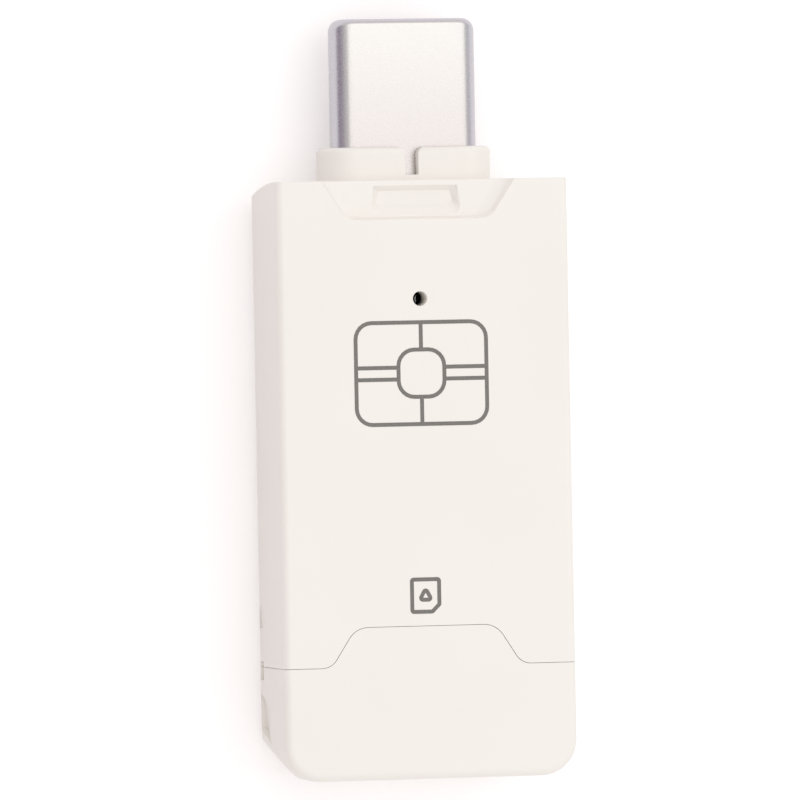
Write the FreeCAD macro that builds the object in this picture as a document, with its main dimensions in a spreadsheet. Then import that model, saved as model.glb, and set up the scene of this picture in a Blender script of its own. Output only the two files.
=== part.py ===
import FreeCAD, Part
import math
import os

import Sketcher

# A smart card reader: a slim moulded stick with a plug at one end and a pull-off cap over the
# card slot at the other. It lies on its back: X runs across, Y from the cap to the plug, and Z
# from the rear face up to the front face. The origin is under the middle of the whole length.

SIZES = (
    # The card and the walls that hold it
    ("card_width", 15.0, "width of the card that the reader takes"),
    ("card_thickness", 0.76, "thickness of the card"),
    ("card_clearance", 0.1, "play beside, over and under the card"),
    ("card_reach", 19.8, "length of card inside the body"),
    ("side_wall", 0.7, "side walls beside the card"),
    ("lower_side_wall", 1.2, "side walls of the rear shell"),
    ("front_wall", 1.4, "front face of body and cap"),
    ("rear_wall", 1.0, "rear face of body and cap"),
    ("slot_wall", 0.8, "end wall with the card slot"),
    ("plug_wall", 1.8, "end wall round the plug"),
    ("rear_room", 1.7, "room behind the circuit board"),
    ("board_thickness", 0.8, "circuit board"),
    ("front_room", 2.4, "room in front of the circuit board"),
    # The outline of the body
    ("shell_length", 26.75, "both shells, from the cap to the plug end"),
    ("crown_radius", 23.5, "curve of the plug end, seen from the side"),
    ("rear_round", 1.8, "rounding of the rear edges"),
    ("front_round", 0.45, "rounding of the front edges"),
    ("corner_round", 2.0, "corners of the cap's end"),
    # The collar and the plug
    ("collar_length", 1.85, "collar round the foot of the plug"),
    ("collar_wall", 0.77, "wall of the collar"),
    ("collar_round", 0.3, "rounding of the collar's rim"),
    ("notch_width", 0.75, "notch in the front of the collar"),
    ("notch_depth", 1.55, "depth of the notch from the rim"),
    ("notch_round", 0.45, "rounded corners of the notch's mouth"),
    ("plug_length", 7.1, "plug beyond the collar"),
    ("plug_width", 8.25, "width of the plug's shell"),
    ("plug_height", 2.4, "height of the plug's shell"),
    ("plug_skin", 0.25, "sheet of the plug's shell"),
    ("plug_lip", 0.35, "lip rolled in at the plug's tip"),
    ("plug_lip_round", 0.5, "rounding of the plug's tip"),
    ("plug_tail", 0.6, "end of the plug's shell inside the body"),
    ("plug_fit", 0.04, "play round the plug's shell and its insert"),
    # The scoop at the plug end of the front face, and the latch pocket in it
    ("face_offset", 0.24, "scoop, light and tongue, to the left of the middle"),
    ("scoop_mouth", 11.0, "width of the scoop at the end of the body"),
    ("scoop_base", 8.2, "width of the scoop at its foot"),
    ("scoop_length", 2.17, "length of the scoop"),
    ("scoop_depth", 0.6, "depth of the scoop"),
    ("scoop_wall_depth", 0.35, "depth of the steep upper part of the scoop's walls"),
    ("scoop_wall_run", 0.2, "run of the steep part of the side walls"),
    ("scoop_side_run", 0.85, "run of the whole side walls"),
    ("scoop_foot_run", 0.15, "run of the scoop's foot"),
    ("scoop_corner", 1.0, "corners of the scoop's foot, at its edge"),
    ("scoop_floor_corner", 0.4, "corners of the scoop's foot, on its floor"),
    ("latch_mouth", 4.7, "width of the latch pocket towards the plug"),
    ("latch_base", 5.2, "width of the latch pocket towards the cap"),
    ("latch_start", 0.3, "distance of the latch pocket from the plug end"),
    ("latch_length", 1.66, "length of the latch pocket"),
    ("latch_depth", 0.4, "depth of the latch pocket"),
    ("latch_foot_run", 0.62, "run of the latch pocket's end towards the cap"),
    ("latch_side_run", 0.34, "run of the latch pocket's sides"),
    ("latch_end_run", 0.28, "run of the latch pocket's end towards the plug"),
    ("latch_corner", 0.5, "corners of the latch pocket towards the cap"),
    ("latch_floor_corner", 0.25, "the same corners on the pocket's floor"),
    ("light_hole", 0.8, "hole for the status light"),
    ("light_distance", 6.55, "hole from the plug end"),
    # The cap and its tongue
    ("cap_length", 6.25, "cap, without its tongue"),
    ("cap_end_wall", 1.0, "closed end of the cap"),
    ("cap_lower_wall", 1.3, "side walls of the cap, below the card"),
    ("bevel_rear", 2.7, "bevel of the cap's corners, at the rear face"),
    ("bevel_front", 1.1, "the same bevel where it runs out"),
    ("bevel_height", 6.0, "height at which the bevel runs out"),
    ("seam_gap", 0.025, "open seam between the cap and the body"),
    ("tongue_base", 10.8, "width of the cap's tongue at the seam"),
    ("tongue_top", 8.0, "width of the tongue at its top"),
    ("tongue_height", 2.2, "height of the tongue above the seam"),
    ("tongue_thickness", 0.8, "thickness of the tongue"),
    ("tongue_top_round", 1.3, "outer corners of the tongue"),
    ("tongue_base_round", 1.0, "inner corners at the foot of the tongue"),
    ("neck_length", 1.2, "neck of the rear shell inside the cap"),
    ("neck_clearance", 0.15, "play between the neck and the cap"),
    ("catch_start", 1.45, "nail catch in the cap's side, from the seam"),
    ("catch_length", 2.0, "length of the nail catch"),
    ("catch_slant", 0.85, "how far the nail catch leans towards the cap's end"),
    ("catch_start_depth", 0.2, "depth of the nail catch at its start"),
    ("catch_depth", 0.32, "depth of the nail catch at its ledge"),
    ("catch_floor", 0.5, "height of the nail catch's floor"),
    ("catch_slope", 1.9, "height of the slope above that floor"),
    ("pry_drop", 0.7, "pry notch in the cap's rim"),
    ("pry_lift", 0.3, "pry notch in the rear shell's rim"),
    ("pry_height", 0.8, "height of the pry notch"),
    ("pry_depth", 0.35, "depth of the pry notch"),
    ("side_slot_start", 2.15, "slot in the rear shell's side, from the seam"),
    ("side_slot_length", 1.4, "length of the side slot"),
    ("side_slot_depth", 0.18, "depth of the side slot at its ledge"),
    ("side_slot_height", 0.7, "height of the side slot"),
    ("side_low", 1.5, "lower side of the catch, the pry notch and the side slot"),
    # What joins the two shells
    ("pin_diameter", 1.2, "pins of the front shell"),
    ("pin_length", 1.1, "length of the pins"),
    ("pin_clearance", 0.1, "play round and under the pins"),
    ("boss_wall", 0.5, "wall of the pin sockets"),
    ("rib_width", 0.7, "ribs that guide the card"),
    ("rib_spacing", 9.0, "distance between the ribs"),
    ("stop_gap", 4.0, "gap between the two card stops"),
    # The circuit board and what it carries
    ("board_gap", 0.12, "play round the circuit board"),
    ("ledge_width", 0.8, "ledges under the circuit board"),
    ("connector_length", 11.6, "length of the card connector"),
    ("connector_width", 12.6, "width of the card connector"),
    ("connector_height", 0.75, "height of the card connector"),
    ("connector_end", 0.34, "wall of the card connector beyond its windows"),
    ("contact_pitch", 2.54, "card contacts across the card"),
    ("contact_width", 0.8, "width of a card contact"),
    ("contact_length", 3.0, "length of a card contact"),
    ("contact_strip", 0.12, "sheet of the contacts"),
    ("window_gap", 0.15, "play of a contact in its window"),
    ("switch_length", 2.4, "spring that feels the card"),
    ("switch_gap", 0.3, "play before and behind that spring"),
    ("chip_width", 5.0, "sides of the reader chip"),
    ("chip_height", 0.85, "height of the reader chip"),
    ("crystal_length", 3.2, "length of the clock crystal"),
    ("crystal_width", 2.5, "width of the clock crystal"),
    ("crystal_height", 0.7, "height of the clock crystal"),
    ("regulator_length", 2.9, "length of the voltage regulator"),
    ("regulator_width", 1.6, "width of the voltage regulator"),
    ("regulator_height", 1.1, "height of the voltage regulator"),
    ("guard_length", 2.0, "length of the surge guard"),
    ("guard_width", 1.25, "width of the surge guard"),
    ("guard_height", 0.9, "height of the surge guard"),
    ("passive_length", 1.0, "length of a capacitor or resistor"),
    ("passive_width", 0.5, "width of a capacitor or resistor"),
    ("capacitor_height", 0.5, "height of a capacitor"),
    ("resistor_height", 0.35, "height of a resistor"),
    ("passive_pitch", 1.1, "capacitors and resistors in a row"),
    ("light_length", 1.6, "length of the status light"),
    ("light_width", 0.8, "width of the status light"),
    ("light_height", 0.6, "height of the status light"),
    ("part_gap", 0.8, "gap between parts on the circuit board"),
    # The inside of the plug
    ("insert_setback", 0.4, "face of the insert behind the plug's tip"),
    ("cavity_width", 6.8, "cavity of the plug"),
    ("cavity_depth", 5.4, "depth of the cavity"),
    ("flange_length", 1.5, "rear flange of the insert"),
    ("flange_width", 8.0, "width of the flange"),
    ("flange_height", 2.2, "height of the flange"),
    ("strip_pitch", 0.5, "plug contacts"),
    ("strip_width", 0.24, "width of a plug contact"),
    ("strip_setback", 1.1, "plug contacts behind the plug's tip"),
    ("strip_tail", 1.3, "plug contacts on the circuit board"),
    ("strip_fit", 0.01, "play of a plug contact in its slot"),
    ("latch_spring_length", 3.6, "side springs of the plug"),
    ("latch_spring_height", 0.5, "height of the side springs"),
    ("pad_length", 0.5, "shield springs at the plug's mouth"),
    ("pad_width", 5.2, "width of the shield springs"),
)

STRIPS_PER_ROW = 12
CONTACTS_PER_ROW = 3
CAPACITORS = 8
RESISTORS = 6

# Shares of a contact spring's length: its foot on the board and its turned-down tip.
FOOT_SHARE = 0.25
TIP_SHARE = 0.125

# Contact widths between the rear shell's side wall and the middle of the spring that feels the card.
SWITCH_INSET = 2.5

# How far a cut runs past an open face, and how closely an edge has to lie on a named level.
OVERRUN = 1.0
LEVEL_TOLERANCE = 1e-4

doc = FreeCAD.newDocument("card_reader")


def fill_sheet():
    """Write the driving dimensions to the sheet, one row each."""
    sheet = doc.addObject("Spreadsheet::Sheet", "dims")
    for row, (alias, value, meaning) in enumerate(SIZES, start=1):
        sheet.set(f"A{row}", str(value))
        sheet.set(f"B{row}", meaning)
        sheet.setAlias(f"A{row}", alias)
    doc.recompute()
    return sheet


class Size:
    """A length with its value and the sheet expression that drives it."""

    def __init__(self, text, value):
        self.text = text
        self.value = value

    def __add__(self, other):
        return joined(self, "+", other, self.value + number(other))

    def __sub__(self, other):
        return joined(self, "-", other, self.value - number(other))

    def __mul__(self, other):
        return joined(self, "*", other, self.value * number(other))

    def __truediv__(self, other):
        return joined(self, "/", other, self.value / number(other))

    def __neg__(self):
        return Size(f"(-1 * {self.text})", -self.value)


def number(item):
    """Value of a Size or a plain number."""
    return item.value if isinstance(item, Size) else item


def joined(left, sign, right, value):
    """Size made of two others."""
    right_text = right.text if isinstance(right, Size) else str(right)
    return Size(f"({left.text} {sign} {right_text})", value)


sheet = fill_sheet()
dim = {alias: Size(f"dims.{alias}", sheet.get(alias)) for alias, _, _ in SIZES}
ZERO = Size("0", 0.0)

# Levels across, in X.
width = dim["card_width"] + (dim["card_clearance"] + dim["side_wall"]) * 2
side = width / 2
inner_side = side - dim["side_wall"]
lower_inner_side = side - dim["lower_side_wall"]
cap_lower_inner = side - dim["cap_lower_wall"]
face_x = -dim["face_offset"]

# Levels along, in Y.
total_length = dim["cap_length"] + dim["shell_length"] + dim["collar_length"] + dim["plug_length"]
cap_end_y = -(total_length / 2)
seam_y = cap_end_y + dim["cap_length"]
cap_rim_y = seam_y - dim["seam_gap"]
top_y = seam_y + dim["shell_length"]
collar_y = top_y + dim["collar_length"]
tip_y = collar_y + dim["plug_length"]
room_low_y = seam_y + dim["slot_wall"]
room_high_y = top_y - dim["plug_wall"]
stop_y = seam_y + dim["card_reach"]
light_y = top_y - dim["light_distance"]
plug_rear_y = room_high_y - dim["plug_tail"]
board_high_y = plug_rear_y - dim["flange_length"]
board_low_y = room_low_y + dim["board_gap"]
cavity_y = tip_y - dim["cavity_depth"]

# Levels up, in Z.
board_low_z = dim["rear_wall"] + dim["rear_room"]
parting_z = board_low_z + dim["board_thickness"]
plug_z = board_low_z + dim["board_thickness"] / 2
ceiling_z = parting_z + dim["front_room"]
front_z = ceiling_z + dim["front_wall"]
slot_low_z = parting_z + dim["connector_height"]
card_low_z = slot_low_z + dim["card_clearance"]
card_high_z = card_low_z + dim["card_thickness"]
slot_high_z = card_high_z + dim["card_clearance"]
step_z = front_z - dim["tongue_thickness"]

# The stadium section of the plug: the distance between its two round ends, and their radius.
plug_span = dim["plug_width"] - dim["plug_height"]
plug_radius = dim["plug_height"] / 2
collar_radius = plug_radius + dim["collar_wall"]

# Where the two pins stand.
boss_radius = dim["pin_diameter"] / 2 + dim["pin_clearance"] + dim["boss_wall"]
pin_x = lower_inner_side - boss_radius + dim["boss_wall"] / 2
pin_y = room_high_y - boss_radius + dim["boss_wall"]

# Sense of each origin plane's normal along the axis that it crosses.
NORMAL_SENSE = {"XY_Plane": 1, "XZ_Plane": -1, "YZ_Plane": 1}


def bind(item, prop, size):
    """Drive a property by a size."""
    item.setExpression(prop, size.text)


def new_body(label):
    """Empty body for one moulded or machined piece."""
    body = doc.addObject("PartDesign::Body", label)
    body.Label = label
    return body


def origin_plane(body, role):
    """One of a body's own origin planes."""
    return next(item for item in body.Origin.OriginFeatures if item.Role == role)


class Drawing:
    """A sketch across a body at one level, with every point tied to the sheet."""

    def __init__(self, body, name, role, level):
        self.role = role
        self.sketch = body.newObject("Sketcher::SketchObject", name)
        self.sketch.AttachmentSupport = [(origin_plane(body, role), "")]
        self.sketch.MapMode = "FlatFace"
        bind(self.sketch, "AttachmentOffset.Base.z", level * NORMAL_SENSE[role])

    def fix(self, constraint, size):
        """Add a constraint and drive it by a size."""
        index = self.sketch.addConstraint(constraint)
        bind(self.sketch, f"Constraints[{index}]", size)

    def pin(self, edge, point, across, up):
        """Tie a point of an edge to its distances from the origin."""
        for kind, axis, size in (("DistanceX", -2, across), ("DistanceY", -1, up)):
            if size is ZERO:
                self.sketch.addConstraint(Sketcher.Constraint("PointOnObject", edge, point, axis))
            else:
                self.fix(Sketcher.Constraint(kind, -1, 1, edge, point, size.value), size)

    def meet(self, edge, point, other_edge, other_point):
        """Join the ends of two edges."""
        constraint = Sketcher.Constraint("Coincident", edge, point, other_edge, other_point)
        self.sketch.addConstraint(constraint)

    def polygon(self, corners, rounds=None):
        """Closed outline of straight edges, with some of its corners rounded."""
        first = self.sketch.GeometryCount
        places = [FreeCAD.Vector(across.value, up.value, 0) for across, up in corners]
        for start, end in zip(places, places[1:] + places[:1]):
            self.sketch.addGeometry(Part.LineSegment(start, end))
        count = len(corners)
        for step in range(count):
            self.meet(first + step, 2, first + (step + 1) % count, 1)
        arcs = {}
        for step, radius in (rounds or {}).items():
            arcs[step] = self.sketch.GeometryCount
            self.sketch.fillet(first + step, 1, radius.value, True, True)
        for step, (across, up) in enumerate(corners):
            if step in arcs:
                radius = rounds[step]
                self.fix(Sketcher.Constraint("Radius", arcs[step], radius.value), radius)
                self.pin(arcs[step] + 1, 1, across, up)
            else:
                self.pin(first + step, 1, across, up)
        return self

    def rectangle(self, across, up):
        """Rectangle between its low and high levels."""
        (left, right), (low, high) = across, up
        return self.polygon([(left, low), (right, low), (right, high), (left, high)])

    def trapezoid(self, middle, low_half, low, high_half, high, low_round):
        """Outline with one half width at its low end, with round corners, and another at its high end."""
        corners = [(middle - low_half, low), (middle + low_half, low),
                   (middle + high_half, high), (middle - high_half, high)]
        return self.polygon(corners, {0: low_round, 1: low_round})

    def tongue(self, foot_half, low, seam, peak_half, peak):
        """Outline of the cap's tongue: straight up to the seam, then narrowing to its peak."""
        return self.polygon([
            (face_x - foot_half, low), (face_x + foot_half, low), (face_x + foot_half, seam),
            (face_x + peak_half, peak), (face_x - peak_half, peak), (face_x - foot_half, seam)])

    def circle(self, across, up, diameter):
        """Circle of a given diameter."""
        centre = FreeCAD.Vector(across.value, up.value, 0)
        shape = Part.Circle(centre, FreeCAD.Vector(0, 0, 1), diameter.value / 2)
        edge = self.sketch.addGeometry(shape)
        self.pin(edge, 3, across, up)
        self.fix(Sketcher.Constraint("Diameter", edge, diameter.value), diameter)
        return self

    def stadium(self, middle, span, radius):
        """Slot outline about the Z axis: two straight sides and two round ends."""
        half = span / 2
        turn = FreeCAD.Vector(0, 0, 1)
        quarter = math.pi / 2
        upper = self.sketch.addGeometry(Part.LineSegment(
            FreeCAD.Vector(-half.value, middle.value + radius.value, 0),
            FreeCAD.Vector(half.value, middle.value + radius.value, 0)))
        right_circle = Part.Circle(FreeCAD.Vector(half.value, middle.value, 0), turn, radius.value)
        right = self.sketch.addGeometry(Part.ArcOfCircle(right_circle, -quarter, quarter))
        lower = self.sketch.addGeometry(Part.LineSegment(
            FreeCAD.Vector(-half.value, middle.value - radius.value, 0),
            FreeCAD.Vector(half.value, middle.value - radius.value, 0)))
        left_circle = Part.Circle(FreeCAD.Vector(-half.value, middle.value, 0), turn, radius.value)
        left = self.sketch.addGeometry(Part.ArcOfCircle(left_circle, quarter, 3 * quarter))
        self.meet(upper, 2, right, 2)
        self.meet(right, 1, lower, 2)
        self.meet(lower, 1, left, 2)
        self.meet(left, 1, upper, 1)
        for arc, across in ((right, half), (left, -half)):
            self.pin(arc, 3, across, middle)
            self.fix(Sketcher.Constraint("Radius", arc, radius.value), radius)
            for end in (1, 2):
                self.sketch.addConstraint(Sketcher.Constraint("Vertical", arc, 3, arc, end))
        return self

    def crowned_side(self, low, high):
        """Side view of a shell between two heights, with the crowned plug end."""
        radius = dim["crown_radius"]
        middle = top_y - radius
        places = []
        for level in (low, high):
            rise = front_z.value - level.value
            places.append(middle.value + (radius.value ** 2 - rise ** 2) ** 0.5)
        low_end = FreeCAD.Vector(places[0], low.value, 0)
        high_end = FreeCAD.Vector(places[1], high.value, 0)
        low_seam = FreeCAD.Vector(seam_y.value, low.value, 0)
        high_seam = FreeCAD.Vector(seam_y.value, high.value, 0)
        bottom = self.sketch.addGeometry(Part.LineSegment(low_seam, low_end))
        circle = Part.Circle(FreeCAD.Vector(middle.value, front_z.value, 0),
                             FreeCAD.Vector(0, 0, 1), radius.value)
        crown = self.sketch.addGeometry(
            Part.ArcOfCircle(circle, circle.parameter(low_end), circle.parameter(high_end)))
        top = self.sketch.addGeometry(Part.LineSegment(high_end, high_seam))
        seam = self.sketch.addGeometry(Part.LineSegment(high_seam, low_seam))
        self.meet(bottom, 2, crown, 1)
        self.meet(crown, 2, top, 1)
        self.meet(top, 2, seam, 1)
        self.meet(seam, 2, bottom, 1)
        self.pin(crown, 3, middle, front_z)
        self.fix(Sketcher.Constraint("Radius", crown, radius.value), radius)
        self.pin(seam, 1, seam_y, high)
        self.pin(seam, 2, seam_y, low)
        for edge in (bottom, top):
            self.sketch.addConstraint(Sketcher.Constraint("Horizontal", edge))
        return self


def extrude(body, kind, name, drawing, length, toward):
    """Pad or pocket of a drawing, towards the low or the high end of its axis."""
    before = body.Shape.Volume if body.Tip else 0.0
    feature = body.newObject(f"PartDesign::{kind}", name)
    feature.Profile = drawing.sketch
    along_normal = NORMAL_SENSE[drawing.role] == toward
    feature.Reversed = along_normal == (kind == "Pocket")
    bind(feature, "Length", length)
    doc.recompute()
    if abs(body.Shape.Volume - before) < LEVEL_TOLERANCE:
        raise ValueError(f"{name} changes nothing")
    return feature


def pad(body, name, drawing, length, toward=1):
    """Add material on one side of a drawing."""
    return extrude(body, "Pad", name, drawing, length, toward)


def pocket(body, name, drawing, length, toward=-1):
    """Cut material away on one side of a drawing."""
    return extrude(body, "Pocket", name, drawing, length, toward)


def loft_cut(body, name, first, others):
    """Cut away what lies between drawings of as many corners."""
    before = body.Shape.Volume
    feature = body.newObject("PartDesign::SubtractiveLoft", name)
    feature.Profile = first.sketch
    feature.Sections = [drawing.sketch for drawing in others]
    feature.Ruled = True
    doc.recompute()
    if before - body.Shape.Volume < LEVEL_TOLERANCE:
        raise ValueError(f"{name} cuts nothing")
    return feature


def mirror(body, name, features):
    """Repeat features on the other side of the body's middle."""
    feature = body.newObject("PartDesign::Mirrored", name)
    feature.Originals = features
    feature.MirrorPlane = (origin_plane(body, "YZ_Plane"), [""])
    body.Tip = feature
    doc.recompute()
    return feature


def lies_at(edge, levels):
    """Whether the whole of an edge lies at the given levels."""
    box = edge.BoundBox
    limits = {"x": (box.XMin, box.XMax), "y": (box.YMin, box.YMax), "z": (box.ZMin, box.ZMax)}
    return all(abs(limit - size.value) < LEVEL_TOLERANCE
               for axis, size in levels.items() for limit in limits[axis])


def fillet(body, name, radius, places, leave=None):
    """Round the edges that lie at any of the given places."""
    base = body.Tip
    names = []
    for index, edge in enumerate(base.Shape.Edges, start=1):
        chosen = any(lies_at(edge, levels) for levels in places)
        if chosen and not (leave and lies_at(edge, leave)):
            names.append(f"Edge{index}")
    if not names:
        raise ValueError(f"{name} finds no edge")
    feature = body.newObject("PartDesign::Fillet", name)
    feature.Base = (base, names)
    bind(feature, "Radius", radius)
    doc.recompute()
    return feature


def block(name, across, along, up):
    """Box between its low and high levels on each axis."""
    item = doc.addObject("Part::Box", name)
    item.Label = name
    spans = (across, along, up)
    for prop, axis, (low, high) in zip(("Length", "Width", "Height"), "xyz", spans):
        bind(item, prop, high - low)
        bind(item, f"Placement.Base.{axis}", low)
    return item


def group(label, items):
    """One node that holds several separate solids."""
    node = doc.addObject("Part::Compound", label)
    node.Label = label
    node.Links = items
    return node


def centred(middle, length):
    """Low and high level of a length about its middle."""
    return middle - length / 2, middle + length / 2


def add_collar(body, toward):
    """Half of the collar, on the side of the parting plane that the shell is on."""
    outline = Drawing(body, "collar_outline", "XZ_Plane", collar_y).stadium(
        plug_z, plug_span, collar_radius)
    pad(body, "collar", outline, dim["collar_length"] + dim["plug_wall"] / 2, toward=-1)
    fillet(body, "collar_rim", dim["collar_round"], [{"y": collar_y}])
    reach = plug_span / 2 + collar_radius + OVERRUN
    spare = Drawing(body, "other_half", "XY_Plane", parting_z).rectangle(
        (-reach, reach), (room_high_y, collar_y + OVERRUN))
    pocket(body, "collar_parting", spare, front_z, toward=-toward)


def cut_plug_passage(body):
    """Passage for the plug's shell through the collar and the end wall."""
    outline = Drawing(body, "passage_outline", "XZ_Plane", collar_y).stadium(
        plug_z, plug_span, plug_radius + dim["plug_fit"])
    pocket(body, "plug_passage", outline, dim["collar_length"] + dim["plug_wall"])


def cut_collar_notch(body):
    """Notch in the front of the collar, open to its rim, with rounded mouth corners."""
    half = dim["notch_width"] / 2
    wide = half + dim["notch_round"] * 2
    low_y = collar_y - dim["notch_depth"]
    high_y = collar_y + OVERRUN
    outline = Drawing(body, "notch_outline", "XY_Plane", front_z).polygon([
        (-half, low_y), (half, low_y), (half, collar_y), (wide, collar_y),
        (wide, high_y), (-wide, high_y), (-wide, collar_y), (-half, collar_y)],
        {2: dim["notch_round"], 7: dim["notch_round"]})
    pocket(body, "collar_notch", outline, front_z - plug_z)


def add_scoop(body):
    """Thumb scoop at the plug end, open to that end, with the latch pocket in its floor."""
    foot_y = top_y - dim["scoop_length"]
    flare = (dim["scoop_mouth"] - dim["scoop_base"]) / 2 / dim["scoop_length"]
    mouth_half = dim["scoop_base"] / 2 + flare * (dim["scoop_length"] + OVERRUN)
    wall_share = dim["scoop_wall_depth"] / dim["scoop_depth"]

    def level(name, depth, side_run, foot_run, corner):
        foot_half = dim["scoop_base"] / 2 + flare * foot_run - side_run
        return Drawing(body, name, "XY_Plane", front_z - depth).trapezoid(
            face_x, foot_half, foot_y + foot_run, mouth_half - side_run, top_y + OVERRUN, corner)

    edge = level("scoop_edge", ZERO, ZERO, ZERO, dim["scoop_corner"])
    wall = level("scoop_wall", dim["scoop_wall_depth"], dim["scoop_wall_run"],
                 dim["scoop_foot_run"] * wall_share, dim["scoop_corner"])
    floor = level("scoop_floor", dim["scoop_depth"], dim["scoop_side_run"],
                  dim["scoop_foot_run"], dim["scoop_floor_corner"])
    loft_cut(body, "scoop", edge, [wall, floor])

    floor_z = front_z - dim["scoop_depth"]
    latch_high_y = top_y - dim["latch_start"]
    latch_low_y = latch_high_y - dim["latch_length"]
    run = dim["latch_side_run"]
    mouth = Drawing(body, "latch_edge", "XY_Plane", floor_z).trapezoid(
        face_x, dim["latch_base"] / 2, latch_low_y, dim["latch_mouth"] / 2, latch_high_y,
        dim["latch_corner"])
    bottom = Drawing(body, "latch_floor", "XY_Plane", floor_z - dim["latch_depth"]).trapezoid(
        face_x, dim["latch_base"] / 2 - run, latch_low_y + dim["latch_foot_run"],
        dim["latch_mouth"] / 2 - run, latch_high_y - dim["latch_end_run"],
        dim["latch_floor_corner"])
    loft_cut(body, "latch_pocket", mouth, [bottom])


def add_tongue_step(body):
    """Step in the front wall that the cap's tongue fills."""
    foot_half = dim["tongue_base"] / 2
    peak_half = dim["tongue_top"] / 2
    peak_y = seam_y + dim["tongue_height"]
    low_y = seam_y - OVERRUN
    outline = Drawing(body, "step_outline", "XY_Plane", front_z).tongue(
        foot_half, low_y, seam_y, peak_half, peak_y)
    pocket(body, "tongue_step", outline, dim["tongue_thickness"] + dim["seam_gap"])
    fillet(body, "step_peak_corners", dim["tongue_top_round"] + dim["seam_gap"],
           [{"x": face_x - peak_half, "y": peak_y}, {"x": face_x + peak_half, "y": peak_y}])
    fillet(body, "step_foot_corners", dim["tongue_base_round"] - dim["seam_gap"],
           [{"x": face_x - foot_half, "y": seam_y}, {"x": face_x + foot_half, "y": seam_y}])


def make_front_shell():
    """Front half of the body: front face, side walls, card slot and the ribs that guide the card."""
    body = new_body("front_shell")
    profile = Drawing(body, "side_view", "YZ_Plane", -side).crowned_side(parting_z, front_z)
    pad(body, "front_block", profile, width)
    fillet(body, "front_edges", dim["front_round"], [{"x": -side, "z": front_z}, {"x": side, "z": front_z}])

    room = Drawing(body, "room_outline", "XY_Plane", parting_z).rectangle(
        (-inner_side, inner_side), (room_low_y, room_high_y))
    pocket(body, "room", room, dim["front_room"], toward=1)
    slot = Drawing(body, "slot_outline", "XZ_Plane", seam_y).rectangle(
        (-inner_side, inner_side), (parting_z, slot_high_z))
    pocket(body, "card_slot", slot, dim["slot_wall"], toward=1)

    ribs = Drawing(body, "rib_outlines", "XY_Plane", slot_high_z)
    for middle in (-(dim["rib_spacing"] / 2), dim["rib_spacing"] / 2):
        ribs.rectangle(centred(middle, dim["rib_width"]), (room_low_y, stop_y))
    pad(body, "card_ribs", ribs, ceiling_z - slot_high_z)
    stops = Drawing(body, "stop_outlines", "XY_Plane", slot_low_z)
    stop_low, stop_high = stop_y, stop_y + dim["rib_width"]
    stops.rectangle((-inner_side, -(dim["stop_gap"] / 2)), (stop_low, stop_high))
    stops.rectangle((dim["stop_gap"] / 2, inner_side), (stop_low, stop_high))
    pad(body, "card_stops", stops, ceiling_z - slot_low_z)

    bosses = Drawing(body, "boss_outlines", "XY_Plane", parting_z)
    pins = Drawing(body, "pin_outlines", "XY_Plane", parting_z)
    for across in (-pin_x, pin_x):
        bosses.circle(across, pin_y, boss_radius * 2)
        pins.circle(across, pin_y, dim["pin_diameter"])
    pad(body, "bosses", bosses, dim["front_room"])
    pad(body, "pins", pins, dim["pin_length"], toward=-1)

    add_collar(body, toward=1)
    cut_plug_passage(body)
    cut_collar_notch(body)
    add_scoop(body)
    hole = Drawing(body, "light_outline", "XY_Plane", front_z).circle(face_x, light_y, dim["light_hole"])
    pocket(body, "light_hole", hole, dim["front_wall"])
    add_tongue_step(body)
    return body


def cut_pry_notch(body, low_y, high_y):
    """Share of the pry notch in the left side of one rim of the seam."""
    outline = Drawing(body, "pry_outline", "YZ_Plane", -side).rectangle(
        (low_y, high_y), (dim["side_low"], dim["side_low"] + dim["pry_height"]))
    return pocket(body, "pry_notch", outline, dim["pry_depth"], toward=1)


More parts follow.
